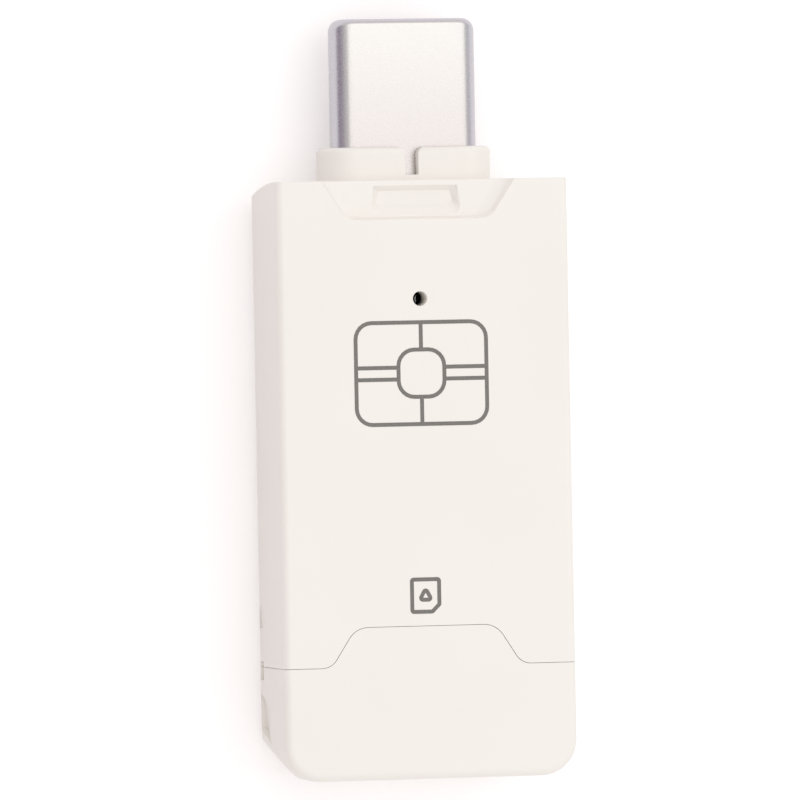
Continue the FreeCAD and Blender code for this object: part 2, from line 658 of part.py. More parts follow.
def make_rear_shell():
    """Rear half of the body: a rounded tray with ledges for the board and a neck for the cap."""
    body = new_body("rear_shell")
    profile = Drawing(body, "side_view", "YZ_Plane", -side).crowned_side(ZERO, parting_z)
    pad(body, "rear_block", profile, width)
    fillet(body, "rear_edges", dim["rear_round"], [{"x": -side, "z": ZERO}, {"x": side, "z": ZERO}])

    room = Drawing(body, "room_outline", "XY_Plane", parting_z).rectangle(
        (-lower_inner_side, lower_inner_side), (room_low_y, room_high_y))
    pocket(body, "room", room, dim["rear_room"] + dim["board_thickness"])
    ledges = Drawing(body, "ledge_outlines", "XY_Plane", dim["rear_wall"])
    ledge_inner = lower_inner_side - dim["ledge_width"]
    ledges.rectangle((-lower_inner_side, -ledge_inner), (room_low_y, board_high_y))
    ledges.rectangle((ledge_inner, lower_inner_side), (room_low_y, board_high_y))
    pad(body, "board_ledges", ledges, dim["rear_room"])

    bosses = Drawing(body, "boss_outlines", "XY_Plane", dim["rear_wall"])
    for across in (-pin_x, pin_x):
        bosses.circle(across, pin_y, boss_radius * 2)
    pad(body, "bosses", bosses, parting_z - dim["rear_wall"])
    sockets = Drawing(body, "socket_outlines", "XY_Plane", parting_z)
    for across in (-pin_x, pin_x):
        sockets.circle(across, pin_y, dim["pin_diameter"] + dim["pin_clearance"] * 2)
    pocket(body, "pin_sockets", sockets, dim["pin_length"] + dim["pin_clearance"])

    add_collar(body, toward=-1)
    cut_plug_passage(body)

    neck_half = cap_lower_inner - dim["neck_clearance"]
    neck = Drawing(body, "neck_outline", "XZ_Plane", room_low_y).rectangle(
        (-neck_half, neck_half), (dim["rear_wall"] + dim["neck_clearance"], parting_z))
    pad(body, "cap_neck", neck, dim["slot_wall"] + dim["neck_length"], toward=-1)
    lip_half = inner_side - dim["card_clearance"]
    lip = Drawing(body, "slot_lip_outline", "XY_Plane", parting_z).rectangle(
        (-lip_half, lip_half), (seam_y, room_low_y))
    pad(body, "slot_lip", lip, slot_low_z - parting_z)

    open_x = -side - OVERRUN
    slot_low_y = seam_y + dim["side_slot_start"]
    slot_high_y = slot_low_y + dim["side_slot_length"]
    slot = Drawing(body, "side_slot_outline", "XY_Plane", dim["side_low"]).polygon([
        (open_x, slot_low_y), (-side + dim["side_slot_depth"], slot_low_y),
        (-side, slot_high_y), (open_x, slot_high_y)])
    left_slot = pocket(body, "side_slot", slot, dim["side_slot_height"], toward=1)
    left_pry = cut_pry_notch(body, seam_y - OVERRUN, seam_y + dim["pry_lift"])
    mirror(body, "side_cuts", [left_slot, left_pry])
    return body


def add_tongue(body):
    """Tongue of the cap, flush with the front face."""
    foot_half = dim["tongue_base"] / 2 - dim["seam_gap"]
    peak_half = dim["tongue_top"] / 2 - dim["seam_gap"]
    peak_y = cap_rim_y + dim["tongue_height"]
    low_y = cap_end_y + dim["cap_end_wall"]
    outline = Drawing(body, "tongue_outline", "XY_Plane", step_z).tongue(
        foot_half, low_y, cap_rim_y, peak_half, peak_y)
    pad(body, "tongue", outline, dim["tongue_thickness"])
    fillet(body, "tongue_peak_corners", dim["tongue_top_round"],
           [{"x": face_x - peak_half, "y": peak_y}, {"x": face_x + peak_half, "y": peak_y}])
    fillet(body, "tongue_foot_corners", dim["tongue_base_round"],
           [{"x": face_x - foot_half, "y": cap_rim_y}, {"x": face_x + foot_half, "y": cap_rim_y}])


def add_nail_catches(body):
    """Leaning catch in each side of the cap, deepest at the ledge near its closed end."""
    open_x = -side - OVERRUN
    floor_share = dim["catch_floor"] / (dim["catch_floor"] + dim["catch_slope"])

    def level(name, height, lean, start_depth, ledge_depth):
        start_y = seam_y - dim["catch_start"] - lean
        ledge_y = start_y - dim["catch_length"]
        return Drawing(body, name, "XY_Plane", dim["side_low"] + height).polygon([
            (open_x, ledge_y), (-side + ledge_depth, ledge_y),
            (-side + start_depth, start_y), (open_x, start_y)])

    low = level("catch_low", ZERO, ZERO, dim["catch_start_depth"], dim["catch_depth"])
    line = level("catch_line", dim["catch_floor"], dim["catch_slant"] * floor_share,
                 dim["catch_start_depth"], dim["catch_depth"])
    top = level("catch_top", dim["catch_floor"] + dim["catch_slope"], dim["catch_slant"], ZERO, ZERO)
    left_catch = loft_cut(body, "nail_catch", low, [line, top])
    mirror(body, "nail_catches", [left_catch])


def cut_end_bevels(body):
    """Bevel at each corner of the cap's closed end, widest at the rear face."""
    out_x = -side - OVERRUN
    out_y = cap_end_y - OVERRUN

    def level(name, height, bevel):
        leg = bevel + OVERRUN
        return Drawing(body, name, "XY_Plane", height).polygon([
            (out_x, out_y), (-side + leg, out_y), (out_x, cap_end_y + leg)])

    rear = level("bevel_rear", ZERO, dim["bevel_rear"])
    front = level("bevel_front", dim["bevel_height"], dim["bevel_front"])
    left_bevel = loft_cut(body, "end_bevel", rear, [front])
    mirror(body, "end_bevels", [left_bevel])


def make_card_door():
    """End cap over the card slot: a hollow cup with a tongue on its front wall."""
    body = new_body("card_door")
    outline = Drawing(body, "cap_outline", "XY_Plane", ZERO).rectangle(
        (-side, side), (cap_end_y, cap_rim_y))
    pad(body, "cap_block", outline, front_z)
    fillet(body, "end_corners", dim["corner_round"],
           [{"x": -side, "y": cap_end_y}, {"x": side, "y": cap_end_y}])
    fillet(body, "rear_edges", dim["rear_round"], [{"z": ZERO}], leave={"y": cap_rim_y})
    fillet(body, "front_edges", dim["front_round"], [{"z": front_z}], leave={"y": cap_rim_y})
    cut_end_bevels(body)

    room_end_y = cap_end_y + dim["cap_end_wall"]
    open_y = cap_rim_y + OVERRUN
    lower = Drawing(body, "lower_room_outline", "XY_Plane", dim["rear_wall"]).trapezoid(
        ZERO, cap_lower_inner, room_end_y, cap_lower_inner, open_y, dim["corner_round"])
    pocket(body, "lower_room", lower, slot_low_z - dim["rear_wall"], toward=1)
    upper = Drawing(body, "upper_room_outline", "XY_Plane", slot_low_z).trapezoid(
        ZERO, inner_side, room_end_y, inner_side, open_y, dim["corner_round"])
    pocket(body, "upper_room", upper, ceiling_z - slot_low_z, toward=1)

    add_tongue(body)
    left_pry = cut_pry_notch(body, cap_rim_y - dim["pry_drop"], cap_rim_y + OVERRUN)
    mirror(body, "pry_notches", [left_pry])
    add_nail_catches(body)
    return body


def make_plug_shell():
    """Drawn steel shell of the plug: a stadium tube with its lip rolled in at the tip."""
    body = new_body("plug_shell")
    outer = Drawing(body, "outer_outline", "XZ_Plane", tip_y).stadium(plug_z, plug_span, plug_radius)
    pad(body, "drawn_cup", outer, tip_y - plug_rear_y, toward=-1)
    fillet(body, "tip_lip", dim["plug_lip_round"], [{"y": tip_y}])
    inner = Drawing(body, "inner_outline", "XZ_Plane", plug_rear_y).stadium(
        plug_z, plug_span, plug_radius - dim["plug_skin"])
    pocket(body, "inside", inner, tip_y - plug_rear_y - dim["plug_lip"], toward=1)
    mouth = Drawing(body, "mouth_outline", "XZ_Plane", tip_y).stadium(
        plug_z, plug_span, plug_radius - dim["plug_lip_round"])
    pocket(body, "mouth", mouth, dim["plug_lip"])
    return body


# Contact strips of the plug lie on both faces of the circuit board.
strip_low_y = board_high_y - dim["strip_tail"]
strip_high_y = tip_y - dim["strip_setback"]
upper_strip_z = (parting_z, parting_z + dim["contact_strip"])
lower_strip_z = (board_low_z - dim["contact_strip"], board_low_z)
first_strip_x = -(dim["strip_pitch"] * ((STRIPS_PER_ROW - 1) / 2))


def make_plug_insulator():
    """Moulded insert of the plug, with its cavity and a slot for each contact strip."""
    body = new_body("plug_insulator")
    face_y = tip_y - dim["insert_setback"]
    core = Drawing(body, "core_outline", "XZ_Plane", face_y).stadium(
        plug_z, plug_span, plug_radius - dim["plug_skin"] - dim["plug_fit"])
    pad(body, "core", core, face_y - plug_rear_y, toward=-1)
    flange = Drawing(body, "flange_outline", "XZ_Plane", plug_rear_y).rectangle(
        centred(ZERO, dim["flange_width"]), centred(plug_z, dim["flange_height"]))
    pad(body, "flange", flange, dim["flange_length"], toward=-1)
    fit = dim["strip_fit"]
    cavity = Drawing(body, "cavity_outline", "XZ_Plane", face_y).rectangle(
        centred(ZERO, dim["cavity_width"]), (lower_strip_z[0] - fit, upper_strip_z[1] + fit))
    pocket(body, "cavity", cavity, face_y - cavity_y)
    slots = Drawing(body, "slot_outlines", "XZ_Plane", cavity_y)
    slot_x = centred(first_strip_x, dim["strip_width"] + fit * 2)
    for low, high in (lower_strip_z, upper_strip_z):
        slots.rectangle(slot_x, (low - fit, high + fit))
    first_slots = pocket(body, "first_slots", slots, cavity_y - board_high_y)
    row = body.newObject("PartDesign::LinearPattern", "strip_slots")
    row.Originals = [first_slots]
    row.Direction = (slots.sketch, ["H_Axis"])
    bind(row, "Length", dim["strip_pitch"] * (STRIPS_PER_ROW - 1))
    row.Occurrences = STRIPS_PER_ROW
    body.Tip = row
    doc.recompute()
    return body


def make_strip_row(label, up):
    """One row of the plug's contact strips."""
    strips = []
    for place in range(STRIPS_PER_ROW):
        middle = first_strip_x + dim["strip_pitch"] * place
        across = centred(middle, dim["strip_width"])
        strips.append(block(f"{label}_{place + 1}", across, (strip_low_y, strip_high_y), up))
    return group(label, strips)


def make_plug_latches():
    """Side springs in the plug's cavity that hold the plug in its socket."""
    wall = dim["cavity_width"] / 2
    up = centred(plug_z, dim["latch_spring_height"])
    along = (cavity_y, cavity_y + dim["latch_spring_length"])
    left = block("plug_latch_left", (-wall, -wall + dim["contact_strip"]), along, up)
    right = block("plug_latch_right", (wall - dim["contact_strip"], wall), along, up)
    return group("plug_latches", [left, right])


def make_plug_ground_pads():
    """Shield springs above and below the mouth of the plug's cavity."""
    across = centred(ZERO, dim["pad_width"])
    high_y = tip_y - dim["insert_setback"]
    along = (high_y - dim["pad_length"], high_y)
    fit = dim["strip_fit"]
    upper = block("plug_ground_pad_upper", across, along,
                  (upper_strip_z[0] + fit, upper_strip_z[1] + fit))
    lower = block("plug_ground_pad_lower", across, along,
                  (lower_strip_z[0] - fit, lower_strip_z[1] - fit))
    return group("plug_ground_pads", [upper, lower])


def make_circuit_board():
    """Circuit board between the plug and the card slot."""
    body = new_body("circuit_board")
    half = lower_inner_side - dim["board_gap"]
    outline = Drawing(body, "board_outline", "XY_Plane", board_low_z).rectangle(
        (-half, half), (board_low_y, board_high_y))
    pad(body, "board", outline, dim["board_thickness"])
    return body


# Card contacts: two rows across the card, in windows at the ends of the connector. The connector
# stands before the spring that feels the card, and that spring before the card stop.
switch_low_y = stop_y - dim["switch_gap"] - dim["switch_length"]
connector_high_y = switch_low_y - dim["switch_gap"]
connector_low_y = connector_high_y - dim["connector_length"]
window_length = dim["contact_length"] + dim["window_gap"] * 2
row_inset = dim["connector_end"] + window_length / 2
contact_rows = (connector_low_y + row_inset, connector_high_y - row_inset)
contact_columns = [dim["contact_pitch"] * (place - (CONTACTS_PER_ROW - 1) / 2)
                   for place in range(CONTACTS_PER_ROW)]


def make_card_connector():
    """Moulded block on the circuit board, with a window for each card contact."""
    body = new_body("card_connector")
    outline = Drawing(body, "block_outline", "XY_Plane", parting_z).rectangle(
        centred(ZERO, dim["connector_width"]), (connector_low_y, connector_high_y))
    pad(body, "block", outline, dim["connector_height"])
    windows = Drawing(body, "window_outlines", "XY_Plane", slot_low_z)
    for along in contact_rows:
        for across in contact_columns:
            windows.rectangle(centred(across, dim["contact_width"] + dim["window_gap"] * 2),
                              centred(along, window_length))
    pocket(body, "windows", windows, dim["connector_height"])
    return body


def spring(name, across, low_y, length, wide):
    """Contact spring: a foot on the board and an arm that rises to the card."""
    sketch_body = new_body(name)
    strip = dim["contact_strip"]
    foot_y = low_y + length * FOOT_SHARE
    tip = low_y + length
    crest_y = tip - length * TIP_SHARE
    crest_z = card_low_z - dim["card_clearance"] / 2
    profile = Drawing(sketch_body, f"{name}_profile", "YZ_Plane", across - wide / 2).polygon([
        (low_y, parting_z), (foot_y, parting_z), (crest_y, crest_z - strip), (tip, crest_z - strip * 2),
        (tip, crest_z - strip), (crest_y, crest_z), (foot_y, parting_z + strip),
        (low_y, parting_z + strip)])
    pad(sketch_body, f"{name}_strip", profile, wide)
    return sketch_body


def make_card_contacts():
    """The six springs that touch the card."""
    springs = []
    for row, along in enumerate(contact_rows, start=1):
        for column, across in enumerate(contact_columns, start=1):
            low_y = along - dim["contact_length"] / 2
            springs.append(spring(f"card_contact_{row}_{column}", across, low_y,
                                  dim["contact_length"], dim["contact_width"]))
    return group("card_contacts", springs)


def make_card_switch():
    """Spring between the connector and the card stop that feels the card."""
    across = lower_inner_side - dim["contact_width"] * SWITCH_INSET
    return spring("card_switch", across, switch_low_y, dim["switch_length"], dim["contact_width"])


def hung(name, across, along, height):
    """Part soldered under the circuit board."""
    return block(name, across, along, (board_low_z - height, board_low_z))


def make_rear_parts():
    """Parts on the rear face of the circuit board, in order from the plug."""
    gap = dim["part_gap"]
    guard_high = strip_low_y - gap
    guard_low = guard_high - dim["guard_width"]
    guard = hung("surge_guard", centred(ZERO, dim["guard_length"]), (guard_low, guard_high),
                 dim["guard_height"])
    chip_high = guard_low - gap
    chip_low = chip_high - dim["chip_width"]
    chip = hung("reader_chip", centred(ZERO, dim["chip_width"]), (chip_low, chip_high),
                dim["chip_height"])
    crystal_high = chip_low - gap
    crystal_low = crystal_high - dim["crystal_width"]
    crystal = hung("clock_crystal", (-dim["crystal_length"] - gap / 2, -(gap / 2)),
                   (crystal_low, crystal_high), dim["crystal_height"])
    regulator = hung("voltage_regulator", (gap / 2, gap / 2 + dim["regulator_length"]),
                     (crystal_high - dim["regulator_width"], crystal_high), dim["regulator_height"])
    capacitors = []
    resistors = []
    row_x = dim["chip_width"] / 2 + gap
    for place in range(CAPACITORS):
        side_sign = 1 if place % 2 else -1
        along_high = chip_high - dim["passive_pitch"] * (place // 2)
        near, far = row_x, row_x + dim["passive_length"]
        across = (near, far) if side_sign > 0 else (-far, -near)
        capacitors.append(hung(f"capacitor_{place + 1}", across,
                               (along_high - dim["passive_width"], along_high),
                               dim["capacitor_height"]))
    for place in range(RESISTORS):
        middle = dim["passive_pitch"] * (place - (RESISTORS - 1) / 2)
        along_high = crystal_low - gap
        resistors.append(hung(f"resistor_{place + 1}", centred(middle, dim["passive_width"]),
                              (along_high - dim["passive_length"], along_high),
                              dim["resistor_height"]))
    return [guard, chip, crystal, regulator, group("capacitors", capacitors),
            group("resistors", resistors)]


def make_status_led():
    """Status light on the front of the board, under its hole."""
    return block("status_led", centred(face_x, dim["light_length"]), centred(light_y, dim["light_width"]),
                 (parting_z, parting_z + dim["light_height"]))


def check(nodes):
    """Stop if anything in the document failed, before a file is written."""
    doc.recompute()
    for item in doc.Objects:
        if any(word in item.State for word in ("Invalid", "Error")):
            raise RuntimeError(f"{item.Name} failed: {item.State}")
    for node in nodes:
        if node.Shape.isNull() or not node.Shape.isValid():
            raise RuntimeError(f"{node.Label} has no valid shape")


def export(nodes):
    """Write one file for each piece."""
    os.makedirs("parts", exist_ok=True)
    for node in nodes:
        node.Shape.exportStep(f"parts/{node.Label}.step")
        print(f"{node.Label}: {len(node.Shape.Solids)} solids, {node.Shape.Volume:.3f} mm3")


nodes = [
    make_front_shell(),
    make_rear_shell(),
    make_card_door(),
    make_plug_shell(),
    make_plug_insulator(),
    make_strip_row("plug_contacts_upper", upper_strip_z),
    make_strip_row("plug_contacts_lower", lower_strip_z),
    make_plug_latches(),
    make_plug_ground_pads(),
    make_circuit_board(),
    make_card_connector(),
    make_card_contacts(),
    make_card_switch(),
    *make_rear_parts(),
    make_status_led(),
]
check(nodes)
export(nodes)
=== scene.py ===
"""Looks of a white smart card reader: a moulded stick with a bare metal plug and a card cap."""
import logging
import math
from abc import ABC, abstractmethod
from dataclasses import dataclass
from enum import Enum
from functools import cache

import bmesh
import bpy
from mathutils import Matrix, Vector
from mathutils.bvhtree import BVHTree


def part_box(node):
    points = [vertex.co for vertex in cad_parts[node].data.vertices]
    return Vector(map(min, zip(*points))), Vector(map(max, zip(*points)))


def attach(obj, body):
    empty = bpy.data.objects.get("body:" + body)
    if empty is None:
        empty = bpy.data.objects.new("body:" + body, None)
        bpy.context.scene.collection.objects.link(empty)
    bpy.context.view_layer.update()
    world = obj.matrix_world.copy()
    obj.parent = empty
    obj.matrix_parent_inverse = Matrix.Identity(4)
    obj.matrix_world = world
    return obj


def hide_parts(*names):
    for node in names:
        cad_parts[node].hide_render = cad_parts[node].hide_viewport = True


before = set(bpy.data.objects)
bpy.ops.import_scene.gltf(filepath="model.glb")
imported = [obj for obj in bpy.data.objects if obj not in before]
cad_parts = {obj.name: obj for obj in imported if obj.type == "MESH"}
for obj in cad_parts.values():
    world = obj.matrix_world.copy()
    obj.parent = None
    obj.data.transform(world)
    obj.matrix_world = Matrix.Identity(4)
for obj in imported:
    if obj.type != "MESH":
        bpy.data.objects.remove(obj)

MM = 0.001
PHOTO_PIXELS = 800

# Faces that meet at more than this angle form a corner.
CORNER_ANGLE = math.radians(36)
# At a large flat face, which has at least this many points, a smaller angle is enough.
FLAT_POINTS = 14
FLAT_ANGLE = math.radians(8)
# An edge that is this near to a neighbour lies along a seam.
SEAM_REACH = 0.05 * MM
# Points nearer than this are one point, and faces that turn by less than this are one face.
MERGE_REACH = 0.0005 * MM
MERGE_ANGLE = math.radians(0.3)
# Steps across a broken edge and round the corner of a stroke, and divisions of a rounded block.
EDGE_STEPS = 2
STROKE_STEPS = 6
BLOCK_LEVEL = 2
# Decimals of a metre to which solids are put in order.
ORDER_DECIMALS = 6
# Middle of a noise's range, where most of its values lie, in a narrow and a wider sense.
NOISE_CORE = (0.35, 0.65)
NOISE_WIDE = (0.3, 0.7)
# Watts for each square metre of an area lamp that make it as bright as an emission of 1.
LAMP_WATTS = 4.0

log = logging.getLogger("card_reader")

Socket = bpy.types.NodeSocket
Colour = tuple[float, float, float]
Triple = tuple[float, float, float]
Point = tuple[float, float]
Pair = tuple[float, float]


class Body(Enum):
    """Bodies of the frame that a piece can ride on."""

    READER = "reader"
    CAP = "cap"


class Slot(Enum):
    """Material slots of the record, listed beside some parts; no piece takes its finish from them."""

    WHITE_PLASTIC = "white_plastic"
    PLUG_STEEL = "plug_steel"
    DARK_PLASTIC = "dark_plastic"
    GILT_CONTACT = "gilt_contact"
    SPRING_STEEL = "spring_steel"
    CHIP_MOULDING = "chip_moulding"
    CERAMIC_TAN = "ceramic_tan"
    LIGHT_LENS = "light_lens"


def linear(red: int, green: int, blue: int) -> Colour:
    """Linear colour of an 8-bit display colour, by the standard display curve.

    Args:
        red: Red from 0 to 255.
        green: Green from 0 to 255.
        blue: Blue from 0 to 255.

    Returns:
        The three linear values.
    """
    def one(value: int) -> float:
        """Linear value of one channel."""
        share = value / 255
        return share / 12.92 if share <= 0.04045 else ((share + 0.055) / 1.055) ** 2.4

    return one(red), one(green), one(blue)


def part_way(pair: Pair, share: float) -> float:
    """Value between two others, by a share from 0 to 1."""
    return pair[0] + (pair[1] - pair[0]) * share


class Graph:
    """Adds and joins the nodes of one tree."""

    def __init__(self, tree: bpy.types.NodeTree) -> None:
        """Start from an empty tree."""
        self.tree = tree
        tree.nodes.clear()

    def feed(self, socket: Socket, value: object) -> None:
        """Join another socket to an input, or set its value.

        Args:
            socket: The input.
            value: The socket to join, or the value.
        """
        if isinstance(value, bpy.types.NodeSocket):
            self.tree.links.new(value, socket)
        else:
            socket.default_value = value

    def add(self, kind: str, settings: dict[str, object] | None = None,
            **inputs: object) -> bpy.types.Node:
        """Add a node.

        Args:
            kind: Blender's name of the node type.
            settings: Properties of the node itself.
            inputs: Input sockets by name, with underscores for spaces: a socket to join or a value.

        Returns:
            The new node.
        """
        node = self.tree.nodes.new(kind)
        for name, value in (settings or {}).items():
            setattr(node, name, value)
        for name, value in inputs.items():
            self.feed(node.inputs[name.replace("_", " ")], value)
        return node

    def shader(self, **inputs: object) -> Socket:
        """Surface shader with these inputs."""
        return self.add("ShaderNodeBsdfPrincipled", None, **inputs).outputs["BSDF"]

    def math(self, operation: str, first: object, second: object = 0.0) -> Socket:
        """Result of one arithmetic step.

        Args:
            operation: Blender's name of the step.
            first: The first value or socket.
            second: The second value or socket, for a step that takes two.

        Returns:
            The result's socket.
        """
        node = self.add("ShaderNodeMath", {"operation": operation})
        self.feed(node.inputs[0], first)
        self.feed(node.inputs[1], second)
        return node.outputs[0]

    def between(self, share: object, low: object, high: object) -> Socket:
        """Colour between two others.

        Args:
            share: How far it lies from the first to the second, from 0 to 1.
            low: The first colour or its socket.
            high: The second colour or its socket.

        Returns:
            The colour's socket.
        """
        node = self.add("ShaderNodeMix", {"data_type": "RGBA"})
        inputs = [socket for socket in node.inputs if socket.enabled]
        self.feed(inputs[0], share)
        for socket, colour in zip(inputs[1:], (low, high)):
            self.feed(socket, (*colour, 1.0) if isinstance(colour, tuple) else colour)
        return next(socket for socket in node.outputs if socket.enabled)

    def remap(self, value: Socket, given: Pair = (0.0, 1.0), wanted: Pair = (0.0, 1.0)) -> Socket:
        """A value carried from one range to another.

        Args:
            value: The value's socket.
            given: The range that it comes from.
            wanted: The range that it goes to.

        Returns:
            The new value's socket.
        """
        node = self.add("ShaderNodeMapRange", None, Value=value, From_Min=given[0], From_Max=given[1],
                        To_Min=wanted[0], To_Max=wanted[1])
        return node.outputs["Result"]

    def noise(self, place: Socket, size: float, detail: float = 2.0) -> Socket:
        """Noise with features of about one size, in metres."""
        node = self.add("ShaderNodeTexNoise", None, Vector=place, Scale=1 / size, Detail=detail)
        return node.outputs["Fac"]

    def bump(self, height: Socket, depth: float, strength: float = 1.0) -> Socket:
        """Normal of a surface with a height from 0 to 1 over some depth, in metres."""
        node = self.add("ShaderNodeBump", None, Strength=strength, Distance=depth, Height=height)
        return node.outputs["Normal"]

    def part_of(self, vector: Socket, axis: str) -> Socket:
        """One of the three parts of a vector."""
        return self.add("ShaderNodeSeparateXYZ", None, Vector=vector).outputs[axis]

    def object_place(self) -> Socket:
        """Object coordinates, which are the frame's own metres."""
        return self.add("ShaderNodeTexCoord").outputs["Object"]


@dataclass(frozen=True)
class Finish(ABC):
    """A surface finish, with the name of its material."""

    name: str

    @cache
    def material(self) -> bpy.types.Material:
        """Make the finish's material on its first use.

        Returns:
            The material.
        """
        material = bpy.data.materials.new(self.name)
        material.use_nodes = True
        graph = Graph(material.node_tree)
        graph.add("ShaderNodeOutputMaterial", None, Surface=self.surface(graph))
        return material

    @abstractmethod
    def surface(self, graph: Graph) -> Socket:
        """Socket of the finish's shader, with the nodes that feed it."""


@dataclass(frozen=True)
class Moulding(Finish):
    """Moulded plastic with a fine eroded grain and a slow drift of tone."""

    colour: Colour
    shade: Colour
    roughness: Pair = (0.36, 0.46)
    grain: float = 0.10 * MM
    grain_depth: float = 0.002 * MM
    drift: float = 9.0 * MM
    refraction: float = 1.5

    def surface(self, graph: Graph) -> Socket:
        """Tone from slow noise, gloss and bump from fine noise.

        Args:
            graph: The material's tree.

        Returns:
            The shader's socket.
        """
        place = graph.object_place()
        grain = graph.noise(place, self.grain)
        tone = graph.remap(graph.noise(place, self.drift), NOISE_CORE)
        return graph.shader(Base_Color=graph.between(tone, self.shade, self.colour),
                            Roughness=graph.remap(grain, NOISE_WIDE, self.roughness),
                            Normal=graph.bump(grain, self.grain_depth),
                            IOR=self.refraction)


@dataclass(frozen=True)
class Metal(Finish):
    """Rolled or plated metal with a fine speckle and faint draw lines along Y."""

    colour: Colour
    shade: Colour
    roughness: Pair = (0.24, 0.34)
    speckle: float = 0.09 * MM
    speckle_detail: float = 3.0
    speckle_depth: float = 0.0008 * MM
    line_width: float = 0.05 * MM
    line_stretch: float = 0.03
    line_share: float = 0.12

    def surface(self, graph: Graph) -> Socket:
        """Tone, gloss and bump from speckle and draw lines.

        Args:
            graph: The material's tree.

        Returns:
            The shader's socket.
        """
        place = graph.object_place()
        speckle = graph.noise(place, self.speckle, self.speckle_detail)
        drawn = graph.add("ShaderNodeMapping", None, Vector=place, Scale=(1.0, self.line_stretch, 1.0))
        lines = graph.noise(drawn.outputs["Vector"], self.line_width)
        both = graph.add("ShaderNodeMix", None, Factor=self.line_share, A=speckle, B=lines)
        texture = both.outputs["Result"]
        return graph.shader(Base_Color=self.tone(graph, texture),
                            Roughness=graph.remap(texture, NOISE_CORE, self.roughness),
                            Normal=graph.bump(texture, self.speckle_depth),
                            Metallic=1.0)

    def tone(self, graph: Graph, texture: Socket) -> Socket:
        """Colour that follows the texture."""
        return graph.between(graph.remap(texture, NOISE_CORE), self.shade, self.colour)


@dataclass(frozen=True)
class SheenPaintedMetal(Metal):
    """Metal whose level faces carry a painted highlight, brighter than its round ends and brightest
    near the plug's mouth.
    """

    # Painted highlight: colours of the level faces from the collar end to the mouth, lighter than the
    # round ends as a reflection would make them.
    sheen_root: Colour = linear(209, 203, 200)
    bright: Colour = linear(217, 215, 211)
    sheen_span: Pair = (14.0 * MM, 20.9 * MM)
    level_span: Pair = (0.75, 0.99)

    def tone(self, graph: Graph, texture: Socket) -> Socket:
        """Colour that follows the texture at the round ends, and a painted highlight on the level
        faces.

        Args:
            graph: The material's tree.
            texture: The texture's socket.

        Returns:
            The colour's socket.
        """
        # Painted highlight: faces that point up get a brighter colour than the round ends, rising
        # towards the mouth.
        sheen_share = graph.remap(graph.part_of(graph.object_place(), "Y"), self.sheen_span)
        facing = graph.add("ShaderNodeNewGeometry").outputs["Normal"]
        upright = graph.math("ABSOLUTE", graph.part_of(facing, "Z"))
        level = graph.remap(upright, self.level_span)
        painted_sheen = graph.between(sheen_share, self.sheen_root, self.bright)
        return graph.between(level, super().tone(graph, texture), painted_sheen)


@dataclass(frozen=True)
class Laminate(Finish):
    """Circuit board: solder mask over copper tracks, uneven from the glass cloth under it."""

    mask: Colour
    track: Colour
    roughness: Pair = (0.28, 0.42)
    track_pitch: float = 1.6 * MM
    track_width: float = 0.12
    track_stray: float = 0.7
    cloth: float = 0.35 * MM
    cloth_share: float = 0.3
    relief: float = 0.6
    relief_depth: float = 0.01 * MM

    def surface(self, graph: Graph) -> Socket:
        """Raised tracks where irregular cells meet, and a faint bump and gloss from the cloth.

        Args:
            graph: The material's tree.

        Returns:
            The shader's socket.
        """
        place = graph.object_place()
        cells = graph.add("ShaderNodeTexVoronoi", {"feature": "DISTANCE_TO_EDGE"}, Vector=place,
                          Scale=1 / self.track_pitch, Randomness=self.track_stray)
        tracks = graph.math("LESS_THAN", cells.outputs["Distance"], self.track_width)
        cloth = graph.noise(place, self.cloth)
        height = graph.math("ADD", graph.math("MULTIPLY", cloth, self.cloth_share), tracks)
        return graph.shader(Base_Color=graph.between(tracks, self.mask, self.track),
                            Roughness=graph.remap(cloth, wanted=self.roughness),
                            Normal=graph.bump(height, self.relief_depth, self.relief))


@dataclass(frozen=True)
class Ink(Finish):
    """Printed ink, slightly thin in places."""

    colour: Colour
    thin: Colour
    roughness: Pair = (0.4, 0.6)
    mottle: float = 0.12 * MM
    mottle_detail: float = 3.0

    def surface(self, graph: Graph) -> Socket:
        """Tone and gloss from a fine mottle.

        Args:
            graph: The material's tree.

        Returns:
            The shader's socket.
        """
        mottle = graph.noise(graph.object_place(), self.mottle, self.mottle_detail)
        share = graph.remap(mottle, NOISE_CORE)
        return graph.shader(Base_Color=graph.between(share, self.colour, self.thin),
                            Roughness=graph.remap(mottle, wanted=self.roughness))


@dataclass(frozen=True)
class Lens(Finish):
    """Cloudy resin of the status light."""

    clear: Colour
    cloudy: Colour
    roughness: Pair = (0.12, 0.25)
    cloud: float = 0.25 * MM
    transmission: float = 0.25
    coat: float = 0.5

    def surface(self, graph: Graph) -> Socket:
        """Cloud of phosphor in a glossy resin.

        Args:
            graph: The material's tree.

        Returns:
            The shader's socket.
        """
        cloud = graph.noise(graph.object_place(), self.cloud)
        return graph.shader(Base_Color=graph.between(cloud, self.clear, self.cloudy),
                            Roughness=graph.remap(cloud, wanted=self.roughness),
                            Transmission_Weight=self.transmission,
                            Coat_Weight=self.coat)


